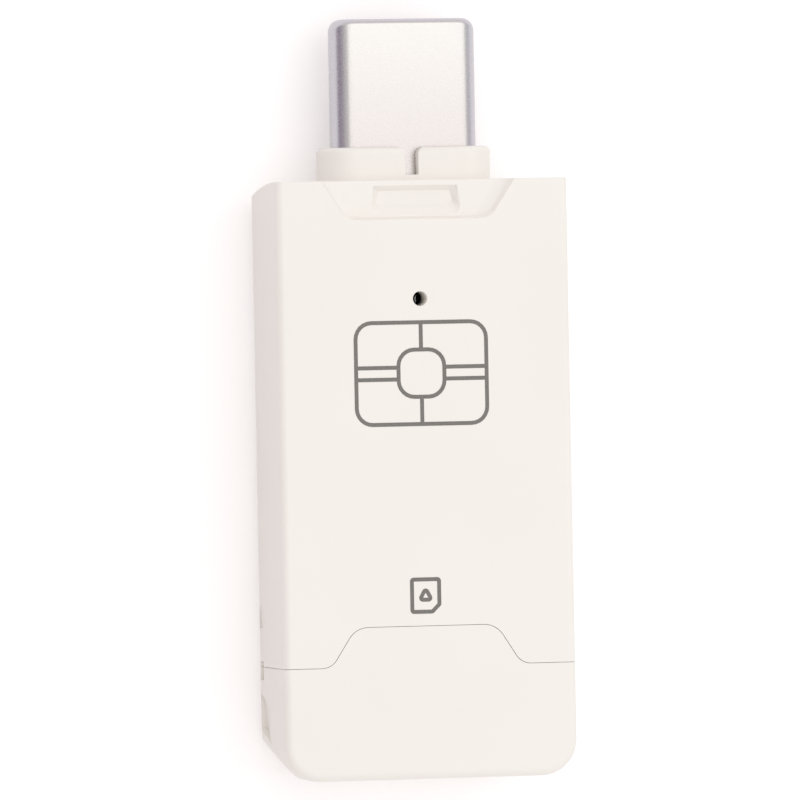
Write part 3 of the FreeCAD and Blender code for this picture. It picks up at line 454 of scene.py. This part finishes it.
@dataclass(frozen=True)
class Paper(Finish):
    """Pale floor paper that shows white to the eye and keeps the object's shadow."""

    colour: Colour
    lift: float

    def surface(self, graph: Graph) -> Socket:
        """Dull paper, lifted for the rays that come from the eye, metal or glass.

        Args:
            graph: The material's tree.

        Returns:
            The shader's socket.
        """
        paper = graph.add("ShaderNodeBsdfDiffuse", None, Color=(*self.colour, 1.0))
        rays = graph.add("ShaderNodeLightPath").outputs
        seen = graph.math("ADD", rays["Is Camera Ray"], rays["Is Glossy Ray"])
        seen = graph.math("ADD", seen, rays["Is Transmission Ray"])
        strength = graph.math("MULTIPLY", graph.math("MINIMUM", seen, 1.0), self.lift)
        lifted = graph.add("ShaderNodeEmission", None, Strength=strength)
        both = graph.add("ShaderNodeAddShader")
        graph.feed(both.inputs[0], paper.outputs["BSDF"])
        graph.feed(both.inputs[1], lifted.outputs["Emission"])
        return both.outputs["Shader"]


WHITE_MOULDING = Moulding("white_moulding", linear(243, 240, 234), linear(241, 238, 231))
BLACK_MOULDING = Moulding("black_moulding", linear(38, 38, 40), linear(30, 30, 32), (0.4, 0.55))
CHIP_MOULDING = Moulding("matt_resin", linear(46, 46, 48), linear(36, 36, 39), (0.5, 0.62))
TAN_CERAMIC = Moulding("tan_ceramic", linear(176, 142, 104), linear(160, 126, 90), (0.4, 0.55))
# The plug's level faces are painted brighter than its round ends, and brighter towards the mouth: a
# painted highlight.
PLUG_STEEL = SheenPaintedMetal("drawn_steel", linear(198, 197, 202), linear(192, 191, 196))
GILT_CONTACT = Metal("gilt_plating", linear(236, 198, 122), linear(222, 180, 100), (0.18, 0.26))
SPRING_STEEL = Metal("bright_steel", linear(205, 205, 208), linear(188, 188, 192), (0.2, 0.3))
BOARD_LAMINATE = Laminate("green_laminate", linear(24, 84, 52), linear(44, 116, 72))
LIGHT_LENS = Lens("clouded_resin", linear(235, 226, 170), linear(214, 196, 110))
MARK_INK = Ink("mark_ink", linear(112, 110, 105), linear(124, 121, 116))
FLOOR_PAPER = Paper("floor_paper", (0.86, 0.84, 0.84), 0.28)


class Recipe:
    """A Geometry Nodes tree with named sizes, which turns a piece's points or paths into solids."""

    def __init__(self, name: str, sizes: tuple[str, ...]) -> None:
        """Start a tree.

        Args:
            name: Name of the tree.
            sizes: Names of its inputs, each a length or a share.
        """
        self.tree = bpy.data.node_groups.new(name, "GeometryNodeTree")
        self.graph = Graph(self.tree)
        self.keys: dict[str, str] = {}
        sockets = self.tree.interface
        sockets.new_socket("Geometry", in_out="INPUT", socket_type="NodeSocketGeometry")
        for size in sizes:
            socket = sockets.new_socket(size, in_out="INPUT", socket_type="NodeSocketFloat")
            self.keys[size] = socket.identifier
        sockets.new_socket("Geometry", in_out="OUTPUT", socket_type="NodeSocketGeometry")
        self.given = self.graph.add("NodeGroupInput").outputs

    def close(self, geometry: Socket, finish: Finish) -> None:
        """End the tree with real faces in one finish.

        Args:
            geometry: What the tree has made.
            finish: What it is dressed in.
        """
        real = self.graph.add("GeometryNodeRealizeInstances", None, Geometry=geometry)
        dressed = self.graph.add("GeometryNodeSetMaterial", None, Geometry=real.outputs["Geometry"],
                                 Material=finish.material())
        self.graph.add("NodeGroupOutput", None, Geometry=dressed.outputs["Geometry"])

    def apply(self, item: bpy.types.Object, sizes: dict[str, float]) -> None:
        """Run the tree on an object and keep the result as its plain mesh.

        Args:
            item: The object whose mesh holds the points or paths.
            sizes: Value of each named input.
        """
        modifier = item.modifiers.new(self.tree.name, "NODES")
        modifier.node_group = self.tree
        for size, key in self.keys.items():
            modifier[key] = sizes[size]
        settle(item)


def stroke_recipe(finish: Finish) -> Recipe:
    """Tree that draws paths as flat strokes with rounded corners.

    Args:
        finish: What the strokes are dressed in.

    Returns:
        The tree, with inputs Corner, Stroke and Thickness.
    """
    recipe = Recipe("strokes", ("Corner", "Stroke", "Thickness"))
    graph = recipe.graph
    paths = graph.add("GeometryNodeMeshToCurve", None, Mesh=recipe.given["Geometry"])
    rounded = graph.add("GeometryNodeFilletCurve", {"mode": "POLY"}, Curve=paths.outputs["Curve"],
                        Radius=recipe.given["Corner"], Limit_Radius=True, Count=STROKE_STEPS)
    level = graph.add("GeometryNodeSetCurveNormal", {"mode": "Z_UP"}, Curve=rounded.outputs["Curve"])
    section = graph.add("GeometryNodeCurvePrimitiveQuadrilateral", None, Width=recipe.given["Stroke"],
                        Height=recipe.given["Thickness"])
    drawn = graph.add("GeometryNodeCurveToMesh", None, Curve=level.outputs["Curve"],
                      Profile_Curve=section.outputs["Curve"], Fill_Caps=True)
    recipe.close(drawn.outputs["Mesh"], finish)
    return recipe


def bead_recipe(name: str, finish: Finish) -> Recipe:
    """Tree that sets a rounded block on every point.

    Args:
        name: Name of the tree.
        finish: What the blocks are dressed in.

    Returns:
        The tree, with inputs Across, Along, Up and Crease.
    """
    recipe = Recipe(name, ("Across", "Along", "Up", "Crease"))
    graph = recipe.graph
    size = graph.add("ShaderNodeCombineXYZ", None, X=recipe.given["Across"], Y=recipe.given["Along"],
                     Z=recipe.given["Up"])
    block = graph.add("GeometryNodeMeshCube", None, Size=size.outputs["Vector"])
    soft = graph.add("GeometryNodeSubdivisionSurface", None, Mesh=block.outputs["Mesh"],
                     Level=BLOCK_LEVEL, Edge_Crease=recipe.given["Crease"])
    smooth = graph.add("GeometryNodeSetShadeSmooth", None, Geometry=soft.outputs["Mesh"])
    points = graph.add("GeometryNodeMeshToPoints", None, Mesh=recipe.given["Geometry"])
    placed = graph.add("GeometryNodeInstanceOnPoints", None, Points=points.outputs["Points"],
                       Instance=smooth.outputs["Geometry"])
    recipe.close(placed.outputs["Instances"], finish)
    return recipe


def keep_mesh(name: str, mesh: bpy.types.Mesh, finish: Finish) -> bpy.types.Object:
    """Put a mesh in the scene as an object at the origin.

    Args:
        name: Name of the piece.
        mesh: Its mesh, in the frame's metres.
        finish: What it is dressed in.

    Returns:
        The new object.
    """
    mesh.materials.clear()
    mesh.materials.append(finish.material())
    item = bpy.data.objects.new(name, mesh)
    bpy.context.scene.collection.objects.link(item)
    return item


def settle(item: bpy.types.Object) -> None:
    """Turn an object's modifiers into its plain mesh.

    Args:
        item: The object.
    """
    bpy.context.view_layer.update()
    evaluated = item.evaluated_get(bpy.context.evaluated_depsgraph_get())
    result = bpy.data.meshes.new_from_object(evaluated)
    item.modifiers.clear()
    item.data = result


def hand_over(item: bpy.types.Object, body: Body, nodes: tuple[str, ...] = ()) -> None:
    """Tie a finished piece to its body and the solids it stands for.

    Args:
        item: The piece.
        body: The body it rides on.
        nodes: The solids that it replaces.
    """
    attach(item, body.value)
    if nodes:
        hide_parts(*nodes)
    log.info("%s: %d faces on %s", item.name, len(item.data.polygons), body.value)


def dress_node(node: str, finish: Finish) -> None:
    """Give a solid that stays its finish.

    Args:
        node: The solid's name.
        finish: What it is dressed in.
    """
    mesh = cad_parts[node].data
    mesh.materials.clear()
    mesh.materials.append(finish.material())


def surface_tree(node: str) -> BVHTree:
    """Search tree of a solid's surface.

    Args:
        node: The solid's name.

    Returns:
        The tree.
    """
    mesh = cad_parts[node].data
    corners = [vertex.co for vertex in mesh.vertices]
    return BVHTree.FromPolygons(corners, [face.vertices[:] for face in mesh.polygons])


def follows(tree: BVHTree, edge: bmesh.types.BMEdge) -> bool:
    """Whether an edge lies along another solid's surface."""
    return all(tree.find_nearest(vertex.co, SEAM_REACH)[0] is not None for vertex in edge.verts)


def is_corner(edge: bmesh.types.BMEdge) -> bool:
    """Whether the faces at an edge form a corner, and not a step within a round."""
    flat = any(len(face.verts) >= FLAT_POINTS for face in edge.link_faces)
    return edge.calc_face_angle(0.0) > (FLAT_ANGLE if flat and edge.is_convex else CORNER_ANGLE)


def mark_corners(shape: bmesh.types.BMesh, neighbours: tuple[str, ...]) -> None:
    """Mark the outer corners of a shape for breaking, except along its seams.

    Args:
        shape: The shape.
        neighbours: The solids that it meets at a seam.
    """
    trees = [surface_tree(node) for node in neighbours]
    weight = shape.edges.layers.float.new("bevel_weight_edge")
    for edge in shape.edges:
        sharp = is_corner(edge)
        seam = any(follows(tree, edge) for tree in trees)
        broken = sharp and edge.is_convex and not seam
        edge[weight] = 1.0 if broken else 0.0
        edge.smooth = broken or not sharp


def soft_copy(node: str, name: str, finish: Finish, edge: float,
              neighbours: tuple[str, ...] = ()) -> bpy.types.Object:
    """Copy of a solid whose outer corners are broken as a mould breaks them.

    Args:
        node: The solid's name.
        name: Name of the new piece.
        finish: What it is dressed in.
        edge: Width of the broken edges.
        neighbours: The solids that it meets at a seam, where its corners stay sharp.

    Returns:
        The new object.
    """
    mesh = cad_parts[node].data.copy()
    shape = bmesh.new()
    shape.from_mesh(mesh)
    bmesh.ops.remove_doubles(shape, verts=shape.verts, dist=MERGE_REACH)
    bmesh.ops.dissolve_limit(shape, angle_limit=MERGE_ANGLE, verts=shape.verts, edges=shape.edges)
    mark_corners(shape, neighbours)
    for face in shape.faces:
        face.smooth = True
    shape.to_mesh(mesh)
    shape.free()
    item = keep_mesh(name, mesh, finish)
    bevel = item.modifiers.new("edges", "BEVEL")
    bevel.width = edge
    bevel.segments = EDGE_STEPS
    bevel.limit_method = "WEIGHT"
    bevel.use_clamp_overlap = False
    bevel.miter_outer = "MITER_ARC"
    weighted = item.modifiers.new("normals", "WEIGHTED_NORMAL")
    weighted.keep_sharp = True
    settle(item)
    return item


def solid_boxes(node: str) -> list[tuple[Vector, Vector]]:
    """Boxes round the separate solids of a node.

    Args:
        node: The node's name.

    Returns:
        Lowest and highest corner of each solid, in order along X and then Y.
    """
    shape = bmesh.new()
    shape.from_mesh(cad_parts[node].data)
    bmesh.ops.remove_doubles(shape, verts=shape.verts, dist=MERGE_REACH)
    left = set(shape.verts)
    boxes = []
    while left:
        solid = {left.pop()}
        fresh = list(solid)
        while fresh:
            vertex = fresh.pop()
            near = {link.other_vert(vertex) for link in vertex.link_edges} - solid
            solid |= near
            fresh += near
        left -= solid
        corners = [vertex.co for vertex in solid]
        low = Vector([min(corner[axis] for corner in corners) for axis in range(3)])
        high = Vector([max(corner[axis] for corner in corners) for axis in range(3)])
        boxes.append((low, high))
    shape.free()
    return sorted(boxes, key=lambda box: [round(box[0][axis], ORDER_DECIMALS) for axis in (0, 1)])


def bead_row(name: str, points: list[Vector], finish: Finish, size: Triple,
             crease: float) -> None:
    """One piece made of a rounded block on every point.

    Args:
        name: Name of the piece.
        points: Middle of each block.
        finish: What the blocks are dressed in.
        size: Size of a block across, along and up.
        crease: How far its edges stay sharp, from 0 to 1.
    """
    mesh = bpy.data.meshes.new(name)
    mesh.from_pydata(points, [], [])
    row = keep_mesh(name, mesh, finish)
    across, along, up = size
    recipe = bead_recipe(f"{name}_blocks", finish)
    recipe.apply(row, {"Across": across, "Along": along, "Up": up, "Crease": crease})
    hand_over(row, Body.READER)


@dataclass
class Housing:
    """The two moulded shells of the body."""

    edge: float = 0.035 * MM

    def build(self) -> None:
        """Make both shells."""
        shells = (
            ("front_shell", "front_cover", "rear_shell"),
            ("rear_shell", "rear_cover", "front_shell"),
        )
        for node, name, other in shells:
            shell = soft_copy(node, name, WHITE_MOULDING, self.edge, (other, "card_door"))
            hand_over(shell, Body.READER, (node,))


@dataclass
class FrontPrint:
    """Two plain signs printed on the front: a chip's contact plate, and a card with an arrow."""

    across: float = -0.24 * MM
    chip_above_seam: float = 16.1 * MM
    chip_width: float = 7.4 * MM
    chip_height: float = 5.6 * MM
    chip_corner: float = 0.9 * MM
    field_width: float = 2.6 * MM
    field_height: float = 2.6 * MM
    gap_share: float = 0.25
    card_above_seam: float = 3.86 * MM
    card_width: float = 1.54 * MM
    card_height: float = 1.78 * MM
    card_cut: float = 0.4 * MM
    card_corner: float = 0.1 * MM
    arrow_width: float = 0.66 * MM
    arrow_height: float = 0.62 * MM
    arrow_lift: float = 0.08 * MM
    stroke: float = 0.22 * MM
    ink: float = 0.008 * MM

    def chip_paths(self) -> list[list[Point]]:
        """Paths of the contact plate.

        Returns:
            Its outline, its middle field and the gaps between its contacts.
        """
        wide, tall = self.chip_width / 2, self.chip_height / 2
        inner, rise = self.field_width / 2, self.field_height / 2
        plate = [(-wide, -tall), (wide, -tall), (wide, tall), (-wide, tall)]
        field = [(-inner, -rise), (inner, -rise), (inner, rise), (-inner, rise)]
        end = self.stroke / 2
        gaps = []
        for side in (-1, 1):
            gaps.append([(0.0, side * (rise + end)), (0.0, side * (tall - end))])
            for height in (-rise * self.gap_share, rise * self.gap_share):
                gaps.append([(side * (inner + end), height), (side * (wide - end), height)])
        return [plate, field, *gaps]

    def card_paths(self) -> list[list[Point]]:
        """Paths of the card.

        Returns:
            Its outline with the cut corner, and the arrow on it.
        """
        wide, tall = self.card_width / 2, self.card_height / 2
        card = [(-wide, -tall), (wide - self.card_cut, -tall), (wide, -tall + self.card_cut),
                (wide, tall), (-wide, tall)]
        half, low = self.arrow_width / 2, self.arrow_lift - self.arrow_height / 2
        arrow = [(-half, low), (half, low), (0.0, low + self.arrow_height)]
        return [card, arrow]

    def print_sign(self, name: str, paths: list[list[Point]], above_seam: float, corner: float) -> None:
        """Draw one sign on the front face.

        Args:
            name: Name of the piece.
            paths: Its paths about the sign's middle, closed where they have more than two points.
            above_seam: Distance of the middle from the cap's seam.
            corner: Rounding of the paths' corners.
        """
        low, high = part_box("front_shell")
        along, level = low.y + above_seam, high.z + self.ink / 2
        points, edges = [], []
        for path in paths:
            first = len(points)
            points += [(self.across + x, along + y, level) for x, y in path]
            edges += [(first + step, first + step + 1) for step in range(len(path) - 1)]
            if len(path) > 2:
                edges.append((len(points) - 1, first))
        mesh = bpy.data.meshes.new(name)
        mesh.from_pydata(points, edges, [])
        sign = keep_mesh(name, mesh, MARK_INK)
        sizes = {"Corner": corner, "Stroke": self.stroke, "Thickness": self.ink}
        stroke_recipe(MARK_INK).apply(sign, sizes)
        sign.data.shade_flat()
        hand_over(sign, Body.READER)

    def build(self) -> None:
        """Print both signs."""
        self.print_sign("chip_sign", self.chip_paths(), self.chip_above_seam, self.chip_corner)
        self.print_sign("card_sign", self.card_paths(), self.card_above_seam, self.card_corner)


@dataclass
class EndCap:
    """The cap that covers the card slot."""

    edge: float = 0.035 * MM

    def build(self) -> None:
        """Make the cap."""
        shells = ("front_shell", "rear_shell")
        cap = soft_copy("card_door", "end_cap", WHITE_MOULDING, self.edge, shells)
        hand_over(cap, Body.CAP, ("card_door",))


@dataclass
class PlugSleeve:
    """The drawn steel shell of the plug, whose lip is rounder at the two round ends than at the flats.

    Each pair holds a value at the flats and one at the ends.
    """

    skin: float = 0.25 * MM
    lip_round: Pair = (0.5 * MM, 0.68 * MM)
    lip_run: Pair = (0.32 * MM, 0.72 * MM)
    lip_depth: float = 0.35 * MM
    mouth_round: float = 0.06 * MM
    end_steps: int = 48
    lip_steps: int = 12
    sharp_angle: float = math.radians(40)

    def ring(self, shape: bmesh.types.BMesh, back: Pair, inset: Pair) -> list[bmesh.types.BMVert]:
        """Add one stadium-shaped ring of the wall.

        Args:
            shape: The shape that gets the ring.
            back: Distance behind the mouth, at the flats and at the ends.
            inset: Distance inside the outer face, at the flats and at the ends.

        Returns:
            The ring's points, once round.
        """
        low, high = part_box("plug_shell")
        radius = (high.z - low.z) / 2
        half_span = (high.x - low.x) / 2 - radius
        middle = (high.z + low.z) / 2
        points = []
        for side, start in ((1, -math.pi / 2), (-1, math.pi / 2)):
            for step in range(self.end_steps + 1):
                turn = start + math.pi * step / self.end_steps
                share = math.cos(turn) ** 2
                reach = radius - part_way(inset, share)
                points.append(shape.verts.new((side * half_span + reach * math.cos(turn),
                                               high.y - part_way(back, share),
                                               middle + reach * math.sin(turn))))
        return points

    def profile(self) -> list[tuple[Pair, Pair]]:
        """Section of the wall.

        Returns:
            Distances behind the mouth with their insets, once round the wall.
        """
        low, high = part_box("plug_shell")
        length = high.y - low.y
        rows = [((length, length), (0.0, 0.0))]
        for step in range(self.lip_steps + 1):
            turn = math.pi / 2 * step / self.lip_steps
            back = tuple(run * (1 - math.sin(turn)) for run in self.lip_run)
            rows.append((back, tuple(rise * (1 - math.cos(turn)) for rise in self.lip_round)))
        mouth = tuple(rise + self.mouth_round for rise in self.lip_round)
        skin = (self.skin, self.skin)
        rows.append(((self.mouth_round, self.mouth_round), mouth))
        rows.append(((self.lip_depth, self.lip_depth), mouth))
        rows.append(((self.lip_depth, self.lip_depth), skin))
        rows.append(((length, length), skin))
        return rows

    def build(self) -> None:
        """Make the sleeve as one closed tube."""
        shape = bmesh.new()
        rings = [self.ring(shape, back, inset) for back, inset in self.profile()]
        count = len(rings[0])
        for ring, following in zip(rings, rings[1:] + rings[:1]):
            for place in range(count):
                after = (place + 1) % count
                face = shape.faces.new((ring[place], ring[after], following[after], following[place]))
                face.smooth = True
        bmesh.ops.recalc_face_normals(shape, faces=shape.faces)
        mesh = bpy.data.meshes.new("plug_sleeve")
        shape.to_mesh(mesh)
        shape.free()
        mesh.set_sharp_from_angle(angle=self.sharp_angle)
        sleeve = keep_mesh("plug_sleeve", mesh, PLUG_STEEL)
        hand_over(sleeve, Body.READER, ("plug_shell",))


@dataclass
class PlugInside:
    """The plug's insert with its contact strips, side springs and shield springs."""

    insert_edge: float = 0.04 * MM
    spring_edge: float = 0.02 * MM
    bump_length: float = 0.7 * MM
    bump_height: float = 0.2 * MM
    bump_setback: float = 0.75 * MM
    bump_sink: float = 0.25
    bump_crease: float = 0.3
    solder_length: float = 0.9 * MM
    solder_height: float = 0.16 * MM
    solder_spread: float = 1.3
    solder_crease: float = 0.4

    def add_bumps(self, node: str, name: str, inward: int) -> None:
        """Curved bump where each strip touches its partner, and solder on its tail.

        Args:
            node: The row of strips.
            name: First word of the new pieces' names.
            inward: 1 where the strips' free face points down, or -1 where it points up.
        """
        bumps, tails = [], []
        for low, high in solid_boxes(node):
            middle = (low + high) / 2
            level = middle.z - inward * self.bump_height * self.bump_sink
            bumps.append(Vector((middle.x, high.y - self.bump_setback, level)))
            tails.append(Vector((middle.x, low.y + self.solder_length / 2, middle.z)))
        # The strips are alike, so the last one's width serves for all.
        width = high.x - low.x
        bump = (width, self.bump_length, self.bump_height)
        solder = (width * self.solder_spread, self.solder_length, self.solder_height)
        bead_row(f"{name}_bumps", bumps, GILT_CONTACT, bump, self.bump_crease)
        bead_row(f"{name}_solder", tails, SPRING_STEEL, solder, self.solder_crease)

    def build(self) -> None:
        """Dress the insert and its springs, and add what the strips carry."""
        insert = soft_copy("plug_insulator", "plug_insert", BLACK_MOULDING, self.insert_edge)
        hand_over(insert, Body.READER, ("plug_insulator",))
        for node, name in (("plug_latches", "side_springs"), ("plug_ground_pads", "shield_springs")):
            springs = soft_copy(node, name, SPRING_STEEL, self.spring_edge)
            hand_over(springs, Body.READER, (node,))
        for name, inward in (("upper", 1), ("lower", -1)):
            node = f"plug_contacts_{name}"
            dress_node(node, GILT_CONTACT)
            self.add_bumps(node, name, inward)


@dataclass
class CardSide:
    """The card connector, its contact springs and the spring that feels the card."""

    block_edge: float = 0.06 * MM
    dome_size: Triple = (0.5 * MM, 0.5 * MM, 0.1 * MM)
    dome_setback: float = 0.4 * MM
    dome_crease: float = 0.0

    def build(self) -> None:
        """Dress the connector and the springs, with a round dome at each spring's crest."""
        block = soft_copy("card_connector", "connector_block", BLACK_MOULDING, self.block_edge)
        hand_over(block, Body.READER, ("card_connector",))
        domes = []
        for node in ("card_contacts", "card_switch"):
            dress_node(node, GILT_CONTACT)
            for low, high in solid_boxes(node):
                domes.append(Vector(((low.x + high.x) / 2, high.y - self.dome_setback, high.z)))
        bead_row("contact_domes", domes, GILT_CONTACT, self.dome_size,
                 self.dome_crease)


@dataclass
class BoardSide:
    """The circuit board and the parts soldered to it."""

    package_edge: float = 0.05 * MM
    pads_per_side: int = 8
    pad_pitch: float = 0.5 * MM
    pad_size: Triple = (0.26 * MM, 0.26 * MM, 0.12 * MM)
    pad_crease: float = 0.5
    terminal_share: float = 0.25
    terminal_skin: float = 0.02 * MM
    terminal_crease: float = 0.75
    legs: tuple[int, int] = (3, 2)
    leg_size: Triple = (0.4 * MM, 0.6 * MM, 0.16 * MM)
    leg_crease: float = 0.6

    def dress(self) -> None:
        """Give each part its finish, with softened edges."""
        dress_node("circuit_board", BOARD_LAMINATE)
        parts = (
            ("reader_chip", "chip_package", CHIP_MOULDING, Slot.CHIP_MOULDING),
            ("voltage_regulator", "regulator_package", CHIP_MOULDING, Slot.CHIP_MOULDING),
            ("surge_guard", "guard_package", CHIP_MOULDING, Slot.CHIP_MOULDING),
            ("clock_crystal", "crystal_can", SPRING_STEEL, Slot.SPRING_STEEL),
            ("capacitors", "capacitor_bodies", TAN_CERAMIC, Slot.CERAMIC_TAN),
            ("resistors", "resistor_bodies", CHIP_MOULDING, Slot.CHIP_MOULDING),
            ("status_led", "light_body", LIGHT_LENS, Slot.LIGHT_LENS),
        )
        for node, name, finish, slot in parts:
            hand_over(soft_copy(node, name, finish, self.package_edge), Body.READER, (node,))

    def add_chip_pads(self) -> None:
        """Row of solder pads along each side of the chip."""
        low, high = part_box("reader_chip")
        middle = (low + high) / 2
        level = high.z - self.pad_size[2] / 2
        pads = []
        for step in range(self.pads_per_side):
            run = self.pad_pitch * (step - (self.pads_per_side - 1) / 2)
            pads += [Vector((side, middle.y + run, level)) for side in (low.x, high.x)]
            pads += [Vector((middle.x + run, end, level)) for end in (low.y, high.y)]
        bead_row("chip_pads", pads, SPRING_STEEL, self.pad_size, self.pad_crease)

    def add_terminals(self, node: str, name: str, axis: int) -> None:
        """Metal end on both ends of each capacitor, resistor or like part.

        Args:
            node: The node of the parts.
            name: Name of the new piece.
            axis: The axis that the parts lie along, 0 for X or 1 for Y.
        """
        ends = []
        for low, high in solid_boxes(node):
            size = high - low
            reach = size[axis] * self.terminal_share
            for side, start in ((1, low), (-1, high)):
                place = (low + high) / 2
                place[axis] = start[axis] + side * (reach / 2 - self.terminal_skin)
                ends.append(place)
        # The parts of a node are alike, so the last one's size serves for all.
        size = size + Vector((self.terminal_skin, self.terminal_skin, self.terminal_skin)) * 2
        size[axis] = reach
        bead_row(name, ends, SPRING_STEEL, tuple(size), self.terminal_crease)

    def add_legs(self) -> None:
        """Flat legs of the voltage regulator, more on one side than on the other."""
        low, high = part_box("voltage_regulator")
        level = high.z - self.leg_size[2] / 2
        most = max(self.legs)
        pitch = (high.x - low.x) / most
        legs = []
        for count, along in zip(self.legs, (low.y, high.y)):
            for step in range(count):
                run = pitch * (step - (count - 1) / 2) * (most - 1) / (count - 1)
                legs.append(Vector(((low.x + high.x) / 2 + run, along, level)))
        bead_row("regulator_legs", legs, SPRING_STEEL, self.leg_size,
                 self.leg_crease)

    def build(self) -> None:
        """Dress the parts and add their solder pads, ends and legs."""
        self.dress()
        self.add_chip_pads()
        self.add_terminals("capacitors", "capacitor_ends", 0)
        self.add_terminals("resistors", "resistor_ends", 1)
        self.add_terminals("surge_guard", "guard_ends", 0)
        self.add_terminals("status_led", "light_ends", 0)
        self.add_legs()


@dataclass
class Studio:
    """Floor, soft light and the camera at the photograph's viewing angle."""

    yaw: float = math.radians(14.0)
    pitch: float = math.radians(0.6)
    roll: float = math.radians(1.09)
    distance: float = 600 * MM
    pixels_per_mm: float = 17.93
    shift_across: float = 0.59 * MM
    aim: Triple = (0.0, -0.157 * MM, -1.1 * MM)
    sensor: float = 36.0
    floor_size: float = 4.0
    floor_level: float = -0.01 * MM
    zenith: Colour = (0.72, 0.71, 0.71)
    horizon: Colour = (0.69, 0.68, 0.76)
    haze_span: Pair = (0.1, 0.5)
    flank: Colour = (0.96, 0.91, 0.91)
    flank_span: Pair = (0.3, 0.6)
    shade: Colour = (0.42, 0.35, 0.42)
    shade_turn: float = math.radians(78)
    shade_core: float = math.radians(8)
    shade_edge: float = math.radians(36)
    box_place: Triple = (0.35, 0.13, 0.65)
    box_size: Pair = (1.3, 0.6)
    box_level: float = 0.58

    def add_camera(self) -> None:
        """Camera turned by yaw, then pitch, then roll about the object."""
        view = (Matrix.Rotation(self.roll, 3, "Z") @ Matrix.Rotation(self.pitch, 3, "X")
                @ Matrix.Rotation(self.yaw, 3, "Y"))
        to_world = view.transposed()
        place = to_world @ Vector((self.shift_across, 0.0, self.distance)) + Vector(self.aim)
        data = bpy.data.cameras.new("camera")
        data.sensor_width = self.sensor
        data.lens = self.pixels_per_mm * (self.distance / MM) / PHOTO_PIXELS * self.sensor
        camera = bpy.data.objects.new("camera", data)
        camera.matrix_world = Matrix.Translation(place) @ to_world.to_4x4()
        bpy.context.scene.collection.objects.link(camera)
        bpy.context.scene.camera = camera

    def add_floor(self) -> None:
        """Sheet of floor paper just under the object."""
        half, level = self.floor_size / 2, self.floor_level
        mesh = bpy.data.meshes.new("floor")
        corners = [(across * half, along * half, level)
                   for across, along in ((-1, -1), (1, -1), (1, 1), (-1, 1))]
        mesh.from_pydata(corners, [], [(0, 1, 2, 3)])
        keep_mesh("floor", mesh, FLOOR_PAPER)

    def add_sky(self) -> None:
        """Soft sky from horizon to zenith, brighter fore and aft, with a dark patch at the left."""
        world = bpy.data.worlds.new("studio")
        world.use_nodes = True
        graph = Graph(world.node_tree)
        direction = graph.add("ShaderNodeTexCoord").outputs["Generated"]
        rise = graph.remap(graph.part_of(direction, "Z"), self.haze_span)
        dome = graph.between(rise, self.horizon, self.zenith)
        aside = graph.math("ABSOLUTE", graph.part_of(direction, "Y"))
        dome = graph.between(graph.remap(aside, self.flank_span), dome, self.flank)
        near = graph.add("ShaderNodeVectorMath", {"operation": "DOT_PRODUCT"})
        graph.feed(near.inputs[0], direction)
        graph.feed(near.inputs[1], (-math.sin(self.shade_turn), 0.0, math.cos(self.shade_turn)))
        patch_span = (math.cos(self.shade_edge), math.cos(self.shade_core))
        patch = graph.remap(near.outputs["Value"], patch_span)
        sky = graph.add("ShaderNodeBackground", None, Color=graph.between(patch, dome, self.shade))
        graph.add("ShaderNodeOutputWorld", None, Surface=sky.outputs["Background"])
        bpy.context.scene.world = world

    def add_softbox(self) -> None:
        """Wide level softbox overhead, set to the right of the object and beyond its plug."""
        data = bpy.data.lights.new("softbox", "AREA")
        data.shape = "RECTANGLE"
        data.size, data.size_y = self.box_size
        data.energy = self.box_level * LAMP_WATTS * data.size * data.size_y
        lamp = bpy.data.objects.new("softbox", data)
        lamp.location = self.box_place
        bpy.context.scene.collection.objects.link(lamp)

    def build(self) -> None:
        """Set the whole stage."""
        bpy.context.scene.view_settings.view_transform = "Standard"
        self.add_floor()
        self.add_sky()
        self.add_softbox()
        self.add_camera()


def main() -> None:
    """Build every piece in order, then set the stage."""
    logging.basicConfig(level=logging.INFO, format="%(name)s: %(message)s")
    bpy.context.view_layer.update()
    parts = (Housing(), FrontPrint(), EndCap(), PlugSleeve(), PlugInside(), CardSide(), BoardSide(),
             Studio())
    for part in parts:
        part.build()


if __name__ == "__main__":
    main()
